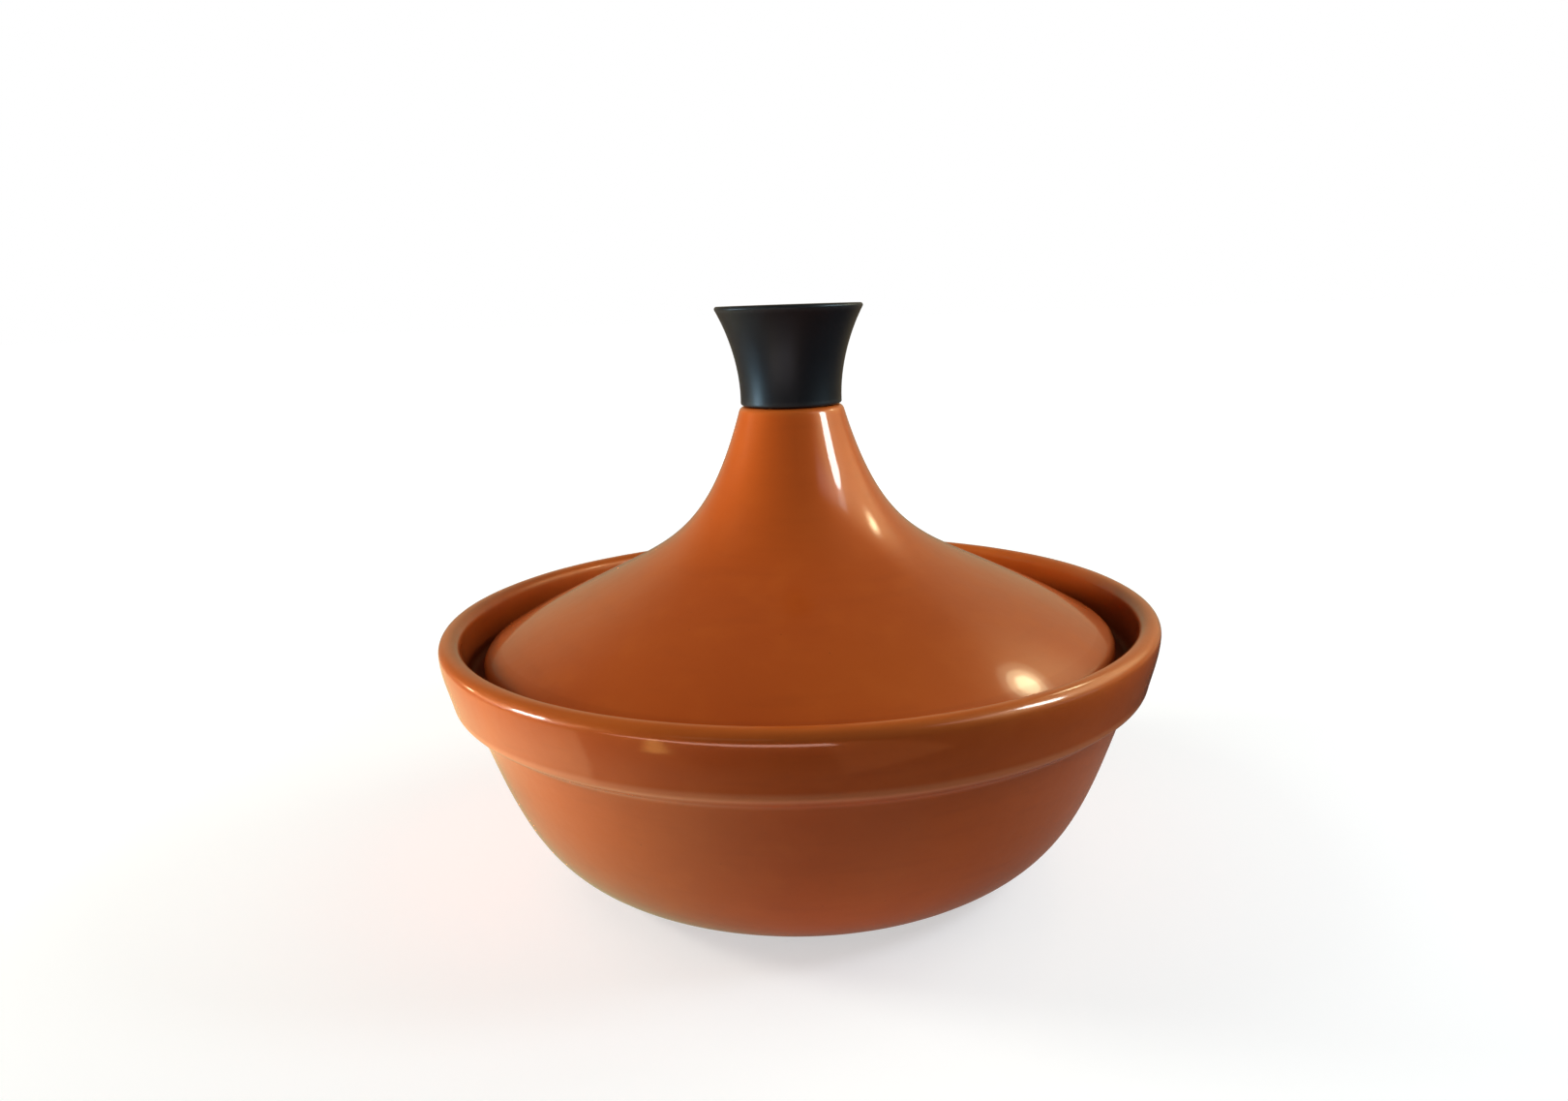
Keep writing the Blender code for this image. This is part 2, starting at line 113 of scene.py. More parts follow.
# Knob section, heights from its lower edge
KNOB_TOP_RADIUS = 0.0291
KNOB_BASE_INSET = 0.00035
KNOB_BASE_SPREAD = 2.5
KNOB_BASE_ROUNDING = 0.0008
KNOB_FLARE = 29.4
KNOB_PULLS = (0.293, 0.356)
KNOB_RIM_WIDTH = 0.0032
KNOB_RIM_ROUNDING = 0.0017
DISH_DEPTH = 0.0032
DISH_PULLS = (0.33, 0.33)
KNOB_WALL = 0.0030
KNOB_TOP_WALL = 0.0035
CAVITY_DRAFT = 1.5
CAVITY_ROUNDING = 0.0030
BOSS_WALL = 0.0030
BOSS_MOUTH_ROUNDING = 0.0004
KNOB_RIB_COUNT = 4
KNOB_RIB_THICKNESS = 0.0018
KNOB_RIB_SETBACK = 0.0006

# Fastening
SCREW_RADIUS = 0.0024
SCREW_HOLE_CLEARANCE = 0.0008
SCREW_TIP_PROUD = 0.0001
SCREW_TIP_ROOM = 0.0026
SCREW_TIP_CHAMFER = 0.0007
SCREW_HEAD_ROUNDING = 0.0020
SCREW_HEAD_OVERHANG = 0.00235
SCREW_HEAD_HEIGHT = 0.0033
THREAD_PITCH = 0.0008
THREAD_DEPTH = 0.0004
CROSS_REACH = 0.0024
CROSS_WIDTH = 0.0011
CROSS_DEPTH = 0.0018
CROSS_TAPER = 0.55
INSERT_WALL = 0.0015
INSERT_CHAMFER = 0.0004
INSERT_PLAIN_END = 0.0006
INSERT_THREAD_SHARE = 0.5
KNURL_DEPTH = 0.00018
KNURL_COUNT = 22
REST_GAP = 0.0003
SEAL_EDGE = 0.00035
WASHER_EDGE = 0.00015
WASHER_CLEARANCE = 0.0004

# Derived from the sections
LIP_INSIDE = RIM_RADIUS - LIP_THICKNESS
LEDGE_RADIUS = LIP_INSIDE - LEDGE_DEPTH * math.tan(math.radians(COLLAR_WALL_LEAN))
LEDGE_HEIGHT = BOWL_HEIGHT - LEDGE_DEPTH
STEP_HEIGHT = BOWL_HEIGHT - COLLAR_HEIGHT
WALL_TOP_RADIUS = RIM_RADIUS - COLLAR_DRAW_IN - STEP_WIDTH
MOUTH_RADIUS = WALL_TOP_RADIUS - BOWL_WALL - MOUTH_THICKENING
SEAT_HEIGHT = LEDGE_HEIGHT + REST_GAP
LID_HEIGHT = LID_TOP.z - SEAT_HEIGHT
LID_RADIUS = LEDGE_RADIUS - LID_SIDE_GAP
RIB_OUTER = MOUTH_RADIUS - RIB_CLEARANCE
SCREW_HOLE_RADIUS = SCREW_RADIUS + SCREW_HOLE_CLEARANCE
KNOB_HEIGHT = KNOB_TOP.z - KNOB_BOTTOM.z
KNOB_BASE_RADIUS = NECK_RADIUS - KNOB_BASE_INSET
BOSS_RECESS = GASKET_TOP.z + REST_GAP - KNOB_BOTTOM.z
THREAD_BORE_RADIUS = SCREW_RADIUS + REST_GAP
INSERT_RADIUS = THREAD_BORE_RADIUS + INSERT_WALL
INSERT_BORE_RADIUS = INSERT_RADIUS + REST_GAP
INSERT_BORE_TOP = INSERT_TOP.z + SCREW_TIP_PROUD + SCREW_TIP_ROOM - KNOB_BOTTOM.z
BOSS_RADIUS = INSERT_BORE_RADIUS + BOSS_WALL
WASHER_BORE = SCREW_RADIUS + WASHER_CLEARANCE

# Fineness of the turned pieces
WARE_SEGMENTS = 240
KNOB_SEGMENTS = 160
SMALL_SEGMENTS = 72
WARE_SPACING = 0.0025
KNOB_SPACING = 0.0015
SMALL_SPACING = 0.0010
THREAD_SPACING = 0.0002
ROUNDING_FACET = 9.0
ROUNDING_ROOM = 1.03
CURVE_STEPS = 32
MERGE_DISTANCE = 0.00001
AXIS_RADIUS = 0.000001
CREASE_ANGLE = 38.0

# Unevenness of hand-finished ware
SWAY_DEPTH = 0.00022
SWAY_SIZE = 0.060
RIPPLE_DEPTH = 0.00005
RIPPLE_SIZE = 0.009
RIPPLE_SHIFT = Vector((7.0, 3.0, 5.0))
EDGE_REACH = 0.0032
EDGE_TURN = 60.0

# Where the ware is wiped bare before firing: heights between which the glaze starts
FOOT_WIPE = (0.0002, 0.0016)
SEAT_WIPE = (0.0001, 0.0013)
RIB_WIPE = (0.0002, 0.0014)

# Colours of the finishes, linear
GLAZE_BODY = (0.45, 0.078, 0.009, 1.0)
GLAZE_DEEP = (0.40, 0.063, 0.008, 1.0)
GLAZE_WARM = (0.50, 0.098, 0.012, 1.0)
# Brighter colour laid on with height up the neck
GLAZE_BRIGHT = (0.62, 0.112, 0.014, 1.0)
# Pale thin glaze with a painted highlight, laid along the collar's lower edge
GLAZE_PALE_HIGHLIGHT = (0.62, 0.230, 0.110, 1.0)
GLAZE_THIN = (0.62, 0.170, 0.030, 1.0)
# Dark pooled glaze for streaks, specks and iron flecks, also used as painted shade in the recess
# between the collar and the lid's edge
GLAZE_POOLED_AND_SHADE = (0.16, 0.022, 0.005, 1.0)
PINHOLE_PALE = (0.74, 0.42, 0.20, 1.0)
REFLECTED = (1.0, 0.60, 0.32, 1.0)
CLAY_LIGHT = (0.52, 0.31, 0.19, 1.0)
CLAY_DARK = (0.40, 0.22, 0.13, 1.0)
CLAY_GROG = (0.66, 0.50, 0.36, 1.0)
PHENOLIC_BLACK = (0.0070, 0.0075, 0.0105, 1.0)
PHENOLIC_WORN = (0.030, 0.032, 0.037, 1.0)
PHENOLIC_SHEEN = (0.52, 0.78, 1.0, 1.0)
SILICONE_DARK = (0.040, 0.040, 0.042, 1.0)
SILICONE_DUSTY = (0.075, 0.074, 0.072, 1.0)
BRASS_BRIGHT = (0.78, 0.56, 0.25, 1.0)
BRASS_DULL = (0.56, 0.37, 0.14, 1.0)
ZINC_BRIGHT = (0.70, 0.71, 0.74, 1.0)
ZINC_DULL = (0.47, 0.48, 0.50, 1.0)
WHITE = (1.0, 1.0, 1.0, 1.0)

# Glaze: sizes of its clouds, and level streaks by height and length
GLAZE_DRIFT = 0.085
GLAZE_CLOUD = 0.014
GLAZE_SPECKLE = 0.0011
GLAZE_PEEL = 0.0045
GLAZE_STREAK = (0.0032, 0.030)
CLAY_CLOUD = 0.006
# Flecks: spacing in metres, share of the cells, size in cells, and a shift that tells kinds apart
IRON_FLECKS = (0.0052, 0.12, 0.075, 1.3)
PINHOLES = (0.0130, 0.14, 0.032, 4.1)
GROG_FLECKS = (0.0016, 0.30, 0.28, 2.7)
FLECK_CORE = 0.6
# Fades, as distances from the height or radius at which a kind of glaze, the painted highlight on
# the collar's lower edge and the painted shade of the recess start or end; then the heights over
# which the neck grows brighter
RECESS_FLOOR_FADE = (-0.0010, -0.0002)
RECESS_TOP_FADE = (0.0010, 0.0165)
RECESS_LIP_FADE = (0.0004, 0.0014)
STEP_LOW_FADE = (-0.0030, -0.0010)
STEP_HIGH_FADE = (0.0016, 0.0036)
INNER_FADE = (-0.0010, 0.0)
NECK_HEIGHTS = (0.105, 0.150)
# How much of each colour goes over the body of the glaze
WARM_SHARE = 0.30
STREAK_SHARE = 0.10
SPECKLE_SHARE = 0.10
BRIGHT_SHARE = 0.35
THIN_SHARE = 0.22
# Painted highlight on the collar's lower edge
PALE_SHARE = 0.45
# Painted shade in the recess between the collar and the lid's edge
RECESS_SHARE = 0.70
IRON_SHARE = 0.45
PINHOLE_SHARE = 0.80
GROG_SHARE = 0.50
# Gloss
GLAZE_ROUGHNESS = 0.30
GLAZE_CLOUD_ROUGHNESS = 0.14
RECESS_ROUGHNESS = 0.35
CLAY_ROUGHNESS = 0.85
GLAZE_SPECULAR = 0.45
COAT_ROUGHNESS = 0.07
COAT_IOR = 1.45
RECESS_COAT_LOSS = 0.95
PHENOLIC_ROUGHNESS = 0.33
PHENOLIC_SPECULAR = 0.38
SILICONE_ROUGHNESS = 0.62
STEEL_ROUGHNESS = 0.24
BRASS_ROUGHNESS = 0.28
# Small finishes: sizes of their clouds and grit
PHENOLIC_CLOUD = 0.010
PHENOLIC_SCUFF = 0.0012
PHENOLIC_TEXTURE = 0.00045
SILICONE_BLOOM = 0.004
SILICONE_GRIT = 0.0005
METAL_TARNISH = 0.0035
METAL_GRIT = 0.0006
TOOL_LINES = 0.0004
# Relief in shading: strength and depth in metres
GLAZE_RELIEF = (0.12, 0.0006)
PHENOLIC_RELIEF = (0.20, 0.00006)
SILICONE_RELIEF = (0.25, 0.00008)
METAL_RELIEF = (0.15, 0.00004)

# Camera at the photograph's place
CAMERA_SIDE = 0.0005
CAMERA_BACK = 0.45317
CAMERA_HEIGHT = 0.21886
CAMERA_PITCH = 12.229
CAMERA_YAW = 0.658
CAMERA_ROLL = -1.887
FOCAL_PIXELS = 1200.0
PHOTO_WIDTH = 1620.0
SENSOR_WIDTH = 36.0

# Studio
TAGINE_MIDDLE = Vector((0.0, 0.0, 0.11))
FLOOR_HALF = 12.0
FLOOR_DROP = 0.0002
FLOOR_GLOW = (0.55, 0.55, 0.55, 1.0)
FLOOR_SHADE = (0.50, 0.49, 0.53, 1.0)
FLOOR_BOUNCE = (0.42, 0.40, 0.38, 1.0)
FLOOR_FADE = (0.30, 1.10)
TENT_RADIUS = 1.6
TENT_STEP = 5
TENT_SEGMENTS = 48
CARD_HEIGHT = 0.0006
WORLD_FILL = 0.06
WORLD_TONE = (1.0, 0.97, 0.93, 1.0)
DAYLIGHT = (0.84, 0.97, 1.0)
NEUTRAL = (1.0, 0.95, 0.88)
EVENING = (1.0, 1.04, 0.88)
LAMPLIGHT = (1.0, 0.84, 0.50)

# Lamps: azimuth and elevation in degrees, distance and size in metres, watts, colour, and whether
# gloss shows them
SIDE_LAMPS = (
    ("left_low", -95.0, 6.0, 1.20, (1.10, 0.45), 6.0, EVENING),
    ("left_high", -84.0, 20.5, 1.20, (0.34, 0.20), 9.5, EVENING),
    ("left_top", -88.0, 50.0, 1.20, (0.50, 0.40), 2.4, EVENING),
    ("right_low", 84.0, 12.0, 1.20, (0.80, 0.40), 2.5, EVENING),
    ("right_high", 68.0, 27.0, 1.20, (0.60, 0.40), 5.0, EVENING),
    ("right_top", 90.0, 60.0, 1.20, (0.50, 0.50), 1.0, EVENING),
    ("left_bulb", -72.0, 3.0, 1.20, (0.09, 0.06), 0.35, LAMPLIGHT, True),
    ("right_window", 107.0, 28.5, 0.60, (0.135, 0.19), 1.4, DAYLIGHT, True),
)
# Lamps on the table, facing up: x, y, size, watts, colour
TABLE_LAMPS = (
    ("left_front_cloth", -0.26, -0.24, (0.30, 0.40), 0.45, NEUTRAL),
    ("left_cloth", -0.32, 0.02, (0.30, 0.30), 1.2, NEUTRAL),
    ("front_cloth", -0.05, -0.135, (0.24, 0.06), 0.030, NEUTRAL),
)
# Narrow lamp in front, turned to the neck: azimuth, elevation, distance, height that it is aimed
# at, cone in degrees, watts
NECK_LAMP = (-170.0, 12.0, 1.20, 0.150, 9.0, 8.0)
NECK_LAMP_RADIUS = 0.03
WARM_LAMP_PLACE = Vector((0.290, 0.102, 0.356))
# The warm lamp's core and its glow: width across and watts
WARM_LAMP_SHELLS = ((0.036, 0.032), (0.060, 0.045), (0.086, 0.026))
SHELL_STEP = 0.0010
# What gloss sees on the tent's wall: strength, colour, then azimuth, elevation, half width, half
# height and softness in degrees
WINDOWS = (
    (45.0, DAYLIGHT, (-98.6, 5.5, 6.0, 4.0, 1.0)),
    (0.60, (1.0, 0.70, 0.40), (-95.0, 4.0, 30.0, 6.0, 3.0)),
    (1.30, (1.0, 0.80, 0.40), (88.0, 33.0, 32.0, 15.0, 9.0)),
    (0.26, (1.0, 0.75, 0.42), (5.0, 18.0, 45.0, 26.0, 12.0)),
    (0.90, (0.90, 0.76, 1.0), (120.0, 42.0, 13.0, 5.0, 4.0)),
    (2.00, DAYLIGHT, (102.0, 43.0, 4.0, 4.0, 2.0)),
    (1.50, (1.0, 0.70, 0.50), (-158.0, 23.0, 14.0, 1.5, 1.0)),
    (0.60, (0.40, 0.80, 1.0), (98.0, 4.0, 10.0, 4.0, 3.0)),
)
# On the table: strength, colour, then x, y, half length, half width, turn, softness
CLOTHS = (
    (0.80, (1.0, 0.75, 0.40), (-0.273, 0.083, 0.130, 0.25, 25.0, 0.004)),
    (4.50, (0.55, 0.90, 1.0), (-1.05, -0.18, 0.30, 0.20, 0.0, 0.12)),
    (0.60, (1.0, 0.35, 0.12), (0.080, -0.42, 0.050, 0.22, 0.0, 0.004)),
    (6.00, (1.0, 0.62, 0.52), (-0.195, -0.41, 0.245, 0.07, 0.0, 0.008)),
    (4.00, (1.0, 0.55, 0.14), (-0.245, -0.349, 0.180, 0.012, 49.6, 0.010)),
    (0.25, (1.0, 0.75, 0.42), (0.0, 0.90, 1.30, 0.55, 0.0, 0.10)),
)
# The tent's own colours, and the distances over which one gives way to the next
SKY = (0.130, 0.105, 0.065, 1.0)
TABLE = (0.045, 0.040, 0.036, 1.0)
TABLE_NEAR = (0.27, 0.145, 0.11, 1.0)
TABLE_NEAR_LEFT = (0.50, 0.47, 0.28, 1.0)
LEFT_REACH = (-0.090, 0.010)
NEAR_REACH = (0.150, 0.230)
CLOTH_REACH = (0.150, 0.210)


def clamped(value):
    """The value kept from 0 to 1."""
    return max(0.0, min(1.0, value))


def smooth_step(low, high, value):
    """0 below low, 1 above high and a soft rise between."""
    share = clamped((value - low) / (high - low))
    return share * share * (3.0 - 2.0 * share)


def heading(degrees):
    """Direction in a half section: 0 points outward, 90 down, 180 inward and 270 up."""
    turn = math.radians(degrees)
    return Vector((math.cos(turn), -math.sin(turn)))


def flow(start, leaves, end, arrives, pulls):
    """Smooth curve between two points of a half section, along a heading at each end."""
    chord = (end - start).length
    leaving = start + heading(leaves) * chord * pulls[0]
    arriving = end - heading(arrives) * chord * pulls[1]
    return interpolate_bezier(start, leaving, arriving, end, CURVE_STEPS + 1)


def sunk(points, depth):
    """The same curve moved square to itself, to the right hand of its run."""
    moved = []
    for index, point in enumerate(points):
        before = points[max(index - 1, 0)]
        after = points[min(index + 1, len(points) - 1)]
        along = (after - before).normalized()
        moved.append(point + Vector((along.y, -along.x)) * depth)
    return moved


def from_limit(points, axis, limit):
    """Rest of a curve from where it passes a radius, axis 0, or a height, axis 1."""
    for index, (here, there) in enumerate(zip(points, points[1:])):
        if (here[axis] - limit) * (there[axis] - limit) <= 0.0:
            share = (limit - here[axis]) / (there[axis] - here[axis])
            return [here.lerp(there, share)] + points[index + 1:]
    return points


def plain(points):
    """Curve points as corners that stay as they are."""
    return [(point, 0.0) for point in points]


def corner(radius, height, rounding=0.0):
    """Corner of a half section, with the radius of its rounding."""
    return (Vector((radius, height)), rounding)


def rounding_points(point, rounding, before, after):
    """Arc that rounds a corner, tangent to its two sides and kept within their room."""
    side_in = before[0] - point
    side_out = after[0] - point
    half = side_in.angle(side_out) / 2
    room_in = side_in.length / (2 if before[1] else 1)
    room_out = side_out.length / (2 if after[1] else 1)
    reach = min(rounding / math.tan(half), room_in, room_out)
    radius = reach * math.tan(half)
    middle = (side_in.normalized() + side_out.normalized()).normalized()
    centre = point + middle * (radius / math.sin(half))
    first = point + side_in.normalized() * reach - centre
    last = point + side_out.normalized() * reach - centre
    start = math.atan2(first.y, first.x)
    sweep = math.remainder(math.atan2(last.y, last.x) - start, math.tau)
    steps = math.ceil(abs(math.degrees(sweep)) / ROUNDING_FACET)
    angles = [start + sweep * step / steps for step in range(steps + 1)]
    return [centre + Vector((math.cos(angle), math.sin(angle))) * radius for angle in angles]


def uncrowded(corners):
    """The same corners, without the curve points that lie within the reach of a rounding."""
    crowded = set()
    count = len(corners)
    for index, (point, rounding) in enumerate(corners):
        if rounding == 0.0:
            continue
        before, after = corners[index - 1][0], corners[(index + 1) % count][0]
        half = (before - point).angle(after - point) / 2
        reach = rounding / math.tan(half) * ROUNDING_ROOM
        for step in (-1, 1):
            other = (index + step) % count
            while corners[other][1] == 0.0 and (corners[other][0] - point).length < reach:
                crowded.add(other)
                other = (other + step) % count
    return [entry for index, entry in enumerate(corners) if index not in crowded]


def section(corners, spacing):
    """Points of a half section: roundings turned into arcs, and long sides divided evenly."""
    points = []
    corners = uncrowded(corners)
    count = len(corners)
    for index, (point, rounding) in enumerate(corners):
        if rounding == 0.0:
            arc = [point]
        else:
            following = corners[(index + 1) % count]
            arc = rounding_points(point, rounding, corners[index - 1], following)
        for candidate in arc:
            if points and (candidate - points[-1]).length <= MERGE_DISTANCE:
                continue
            if points:
                parts = math.ceil((candidate - points[-1]).length / spacing)
                start = points[-1]
                points += [start.lerp(candidate, part / parts) for part in range(1, parts)]
            points.append(candidate)
    return points


def edge_turns(points, is_ring):
    """How sharply the section turns over an edge near each point, from 0 to 1."""
    count = len(points)
    bends = [0.0] * count
    for index in range(count) if is_ring else range(1, count - 1):
        arriving = points[index] - points[index - 1]
        leaving = points[(index + 1) % count] - points[index]
        bends[index] = math.degrees(leaving.angle_signed(arriving, 0.0))
    lengths = [0.0]
    for here, there in zip(points, points[1:]):
        lengths.append(lengths[-1] + (there - here).length)
    whole = lengths[-1] + (points[0] - points[-1]).length
    turns = []
    for here in lengths:
        total = 0.0
        for bend, there in zip(bends, lengths):
            apart = abs(there - here)
            if is_ring:
                apart = min(apart, whole - apart)
            if apart < EDGE_REACH:
                total += bend * (1.0 - apart / EDGE_REACH)
        turns.append(clamped(-total / EDGE_TURN))
    return turns


def ware_sway(point, angle):
    """How far the fired surface lies under its true form at one place."""
    place = Vector((point.x * math.cos(angle), point.x * math.sin(angle), point.y))
    slow = 0.5 + 0.5 * noise.noise(place / SWAY_SIZE)
    quick = 0.5 + 0.5 * noise.noise(place / RIPPLE_SIZE + RIPPLE_SHIFT)
    return SWAY_DEPTH * clamped(slow) + RIPPLE_DEPTH * clamped(quick)


def turned(name, points, segments, height, is_ring, sink=None, bare=None):
    """Closed mesh turned about Z from a half section, standing at a height.

    sink gives how far a place lies under the section, and bare how far a point is unglazed.
    """
    vertices, faces, rows = [], [], []
    turns = edge_turns(points, is_ring)
    edges, bares = [], []
    count = len(points)
    for index, point in enumerate(points):
        on_axis = point.x < AXIS_RADIUS
        before = points[index - 1] if is_ring or index else point
        after = points[(index + 1) % count] if is_ring or index < count - 1 else point
        along = (after - before).normalized()
        inward = Vector((along.y, -along.x))
        row = []
        for step in range(1 if on_axis else segments):
            angle = math.tau * step / segments
            place = point
            if sink and not on_axis:
                place = point + inward * sink(point, angle)
            row.append(len(vertices))
            across, back = place.x * math.cos(angle), place.x * math.sin(angle)
            vertices.append((across, back, place.y + height))
            edges.append(turns[index])
            bares.append(bare(point) if bare else 0.0)
        rows.append(row)
    pairs = list(zip(rows, rows[1:]))
    if is_ring:
        pairs.append((rows[-1], rows[0]))
    for near, far in pairs:
        for step in range(segments):
            following = (step + 1) % segments
            if len(near) == 1:
                faces.append((near[0], far[step], far[following]))
            elif len(far) == 1:
                faces.append((near[step], far[0], near[following]))
            else:
                faces.append((near[step], far[step], far[following], near[following]))
    mesh = bpy.data.meshes.new(name)
    mesh.from_pydata(vertices, [], faces)
    for attribute, values in (("edge", edges), ("bare", bares)):
        mesh.attributes.new(attribute, "FLOAT", "POINT").data.foreach_set("value", values)
    mesh.shade_smooth()
    mesh.set_sharp_from_angle(angle=math.radians(CREASE_ANGLE))
    piece = bpy.data.objects.new(name, mesh)
    bpy.context.scene.collection.objects.link(piece)
    return piece


def bowl_section():
    """Half section of the bowl: mid floor, up the inside, over the lip and down to mid foot."""
    lip_bottom = Vector((RIM_RADIUS, BOWL_HEIGHT - LIP_THICKNESS / 2))
    collar_edge = Vector((RIM_RADIUS - COLLAR_DRAW_IN, BOWL_HEIGHT - COLLAR_HEIGHT))
    collar = flow(lip_bottom, 90, collar_edge, 90 + COLLAR_LEAN, COLLAR_PULLS)
    wall_top = Vector((WALL_TOP_RADIUS, collar_edge.y - STEP_DROP))
    foot_edge = Vector((FOOT_RADIUS, 0.0))
    wall = flow(wall_top, 90 + WALL_LEAN_TOP, foot_edge, 90 + WALL_LEAN_FOOT, WALL_PULLS)
    foot_inside = FOOT_RADIUS - FOOT_WIDTH
    floor_height = FOOT_RECESS + FLOOR_THICKNESS
    inside = from_limit(sunk(wall, BOWL_WALL), 1, LEDGE_HEIGHT - MOUTH_LAND)
    inside = from_limit(inside[::-1], 1, floor_height)
    return section(
        [corner(0.0, floor_height)]
        + [(inside[0], FLOOR_FILLET)]
        + plain(inside[1:])
        + [corner(MOUTH_RADIUS, LEDGE_HEIGHT, MOUTH_ROUNDING)]
        + [corner(LEDGE_RADIUS, LEDGE_HEIGHT, LEDGE_FILLET)]
        + [corner(LIP_INSIDE, BOWL_HEIGHT, LIP_THICKNESS / 2)]
        + [corner(RIM_RADIUS, BOWL_HEIGHT, LIP_THICKNESS / 2)]
        + plain(collar[:-1])
        + [(collar_edge, COLLAR_ROUNDING)]
        + [(wall_top, STEP_FILLET)]
        + plain(wall[1:-1])
        + [(foot_edge, FOOT_ROUNDING)]
        + [corner(foot_inside, 0.0)]
        + [corner(foot_inside - FOOT_RECESS, FOOT_RECESS)]
        + [corner(0.0, FOOT_RECESS)], WARE_SPACING)


def lid_section():
    """Half section of the lid: trumpet outside, edge, seat, rib and an even-walled inside."""
    neck = Vector((NECK_RADIUS, LID_HEIGHT))
    flex = Vector((LID_RADIUS - FLEX_INSET, FLEX_HEIGHT))
    edge = Vector((LID_RADIUS, LID_EDGE_HEIGHT))
    horn = flow(neck, NECK_SLOPE, flex, FLEX_SLOPE, HORN_PULLS)
    skirt = flow(flex, FLEX_SLOPE, edge, EDGE_SLOPE, SKIRT_PULLS)
    outside = horn[:-1] + skirt
    rib_inner = RIB_OUTER - RIB_WIDTH
    ceiling = LID_HEIGHT - NECK_TOP_THICKNESS
    inside = from_limit(sunk(outside, LID_WALL), 1, ceiling)
    inside = from_limit(inside[::-1], 0, rib_inner)
    return section(
        [corner(SCREW_HOLE_RADIUS, LID_HEIGHT)]
        + [(neck, NECK_ROUNDING)]
        + plain(outside[1:-1])
        + [(edge, LID_EDGE_ROUNDING)]
        + [corner(LID_RADIUS, 0.0, LID_SEAT_ROUNDING)]
        + [corner(RIB_OUTER, 0.0)]
        + [corner(RIB_OUTER, -RIB_DEPTH, RIB_ROUNDING)]
        + [corner(rib_inner, -RIB_DEPTH, RIB_ROUNDING)]
        + [(inside[0], LID_WALL)]
        + plain(inside[1:-1])
        + [(inside[-1], CEILING_ROUNDING)]
        + [corner(SCREW_HOLE_RADIUS, ceiling)], WARE_SPACING)


def cavity_radius(height):
    """Inside radius of the knob's wall, which draws in with height."""
    return KNOB_BASE_RADIUS - KNOB_WALL - height * math.tan(math.radians(CAVITY_DRAFT))


def knob_section():
    """Half section of the knob: dished top, flared side, hollow underside and insert boss."""
    dish_radius = KNOB_TOP_RADIUS - KNOB_RIM_WIDTH
    dish_rise = math.degrees(2 * math.atan(DISH_DEPTH / dish_radius))
    dish_middle = Vector((0.0, KNOB_HEIGHT - DISH_DEPTH))
    dish_edge = Vector((dish_radius, KNOB_HEIGHT))
    dish = flow(dish_middle, 0, dish_edge, -dish_rise, DISH_PULLS)
    top_edge = Vector((KNOB_TOP_RADIUS, KNOB_HEIGHT))
    base_edge = Vector((KNOB_BASE_RADIUS, 0.0))
    side = flow(top_edge, 90 + KNOB_FLARE, base_edge, 90 - KNOB_BASE_SPREAD, KNOB_PULLS)
    ceiling = KNOB_HEIGHT - DISH_DEPTH - KNOB_TOP_WALL
    return section(
        plain(dish[:-1])
        + [(dish_edge, KNOB_RIM_ROUNDING)]
        + [(top_edge, KNOB_RIM_ROUNDING)]
        + plain(side[1:-1])
        + [(base_edge, KNOB_BASE_ROUNDING)]
        + [corner(cavity_radius(0.0), 0.0)]
        + [corner(cavity_radius(ceiling), ceiling, CAVITY_ROUNDING)]
        + [corner(BOSS_RADIUS, ceiling, CAVITY_ROUNDING / 2)]
        + [corner(BOSS_RADIUS, BOSS_RECESS, BOSS_MOUTH_ROUNDING)]
        + [corner(INSERT_BORE_RADIUS, BOSS_RECESS, BOSS_MOUTH_ROUNDING)]
        + [corner(INSERT_BORE_RADIUS, INSERT_BORE_TOP)]
        + [corner(0.0, INSERT_BORE_TOP)], KNOB_SPACING)


def block(name, size, middle, turn, top_share=1.0):
    """Straight block turned about Z; its length at the top can be a share of that below."""
    shape = bmesh.new()
    bmesh.ops.create_cube(shape, size=1.0)
    for vertex in shape.verts:
        share = top_share if vertex.co.z > 0 else 1.0
        vertex.co = vertex.co * Vector((size[0] * share, size[1], size[2])) + middle
    turning = Matrix.Rotation(turn, 3, "Z")
    bmesh.ops.rotate(shape, cent=(0, 0, 0), matrix=turning, verts=shape.verts)
    mesh = bpy.data.meshes.new(name)
    shape.to_mesh(mesh)
    shape.free()
    made = bpy.data.objects.new(name, mesh)
    bpy.context.scene.collection.objects.link(made)
    return made


def rib_block(turn):
    """Block for one rib of the knob, from inside its boss to inside its wall."""
    bottom = BOSS_RECESS + KNOB_RIB_SETBACK
    top = KNOB_HEIGHT - DISH_DEPTH - KNOB_TOP_WALL / 2
    near = (INSERT_BORE_RADIUS + BOSS_RADIUS) / 2
    far = KNOB_BASE_RADIUS - KNOB_WALL / 2
    size = (far - near, KNOB_RIB_THICKNESS, top - bottom)
    middle = Vector(((near + far) / 2, 0.0, (bottom + top) / 2 + KNOB_BOTTOM.z))
    return block("rib_block", size, middle, turn)


def cut(piece, tools, operation):
    """Joins tools to a piece, or cuts them out of it, for good."""
    for tool in tools:
        change = piece.modifiers.new(operation.lower(), "BOOLEAN")
        change.operation = operation
        change.solver = "EXACT"
        change.object = tool
    changed = piece.evaluated_get(bpy.context.evaluated_depsgraph_get())
    result = bpy.data.meshes.new_from_object(changed)
    piece.modifiers.clear()
    piece.data = result
    for tool in tools:
        bpy.data.objects.remove(tool, do_unlink=True)
    result.shade_smooth()
    result.set_sharp_from_angle(angle=math.radians(CREASE_ANGLE))


def thread_sink(inward):
    """Depth of a thread's groove at one place of a screw, or of a bore where inward is -1."""
    def depth(point, angle):
        cycle = (point.y / THREAD_PITCH * inward - angle / math.tau) % 1.0
        return THREAD_DEPTH * abs(2.0 * cycle - 1.0)
    return depth


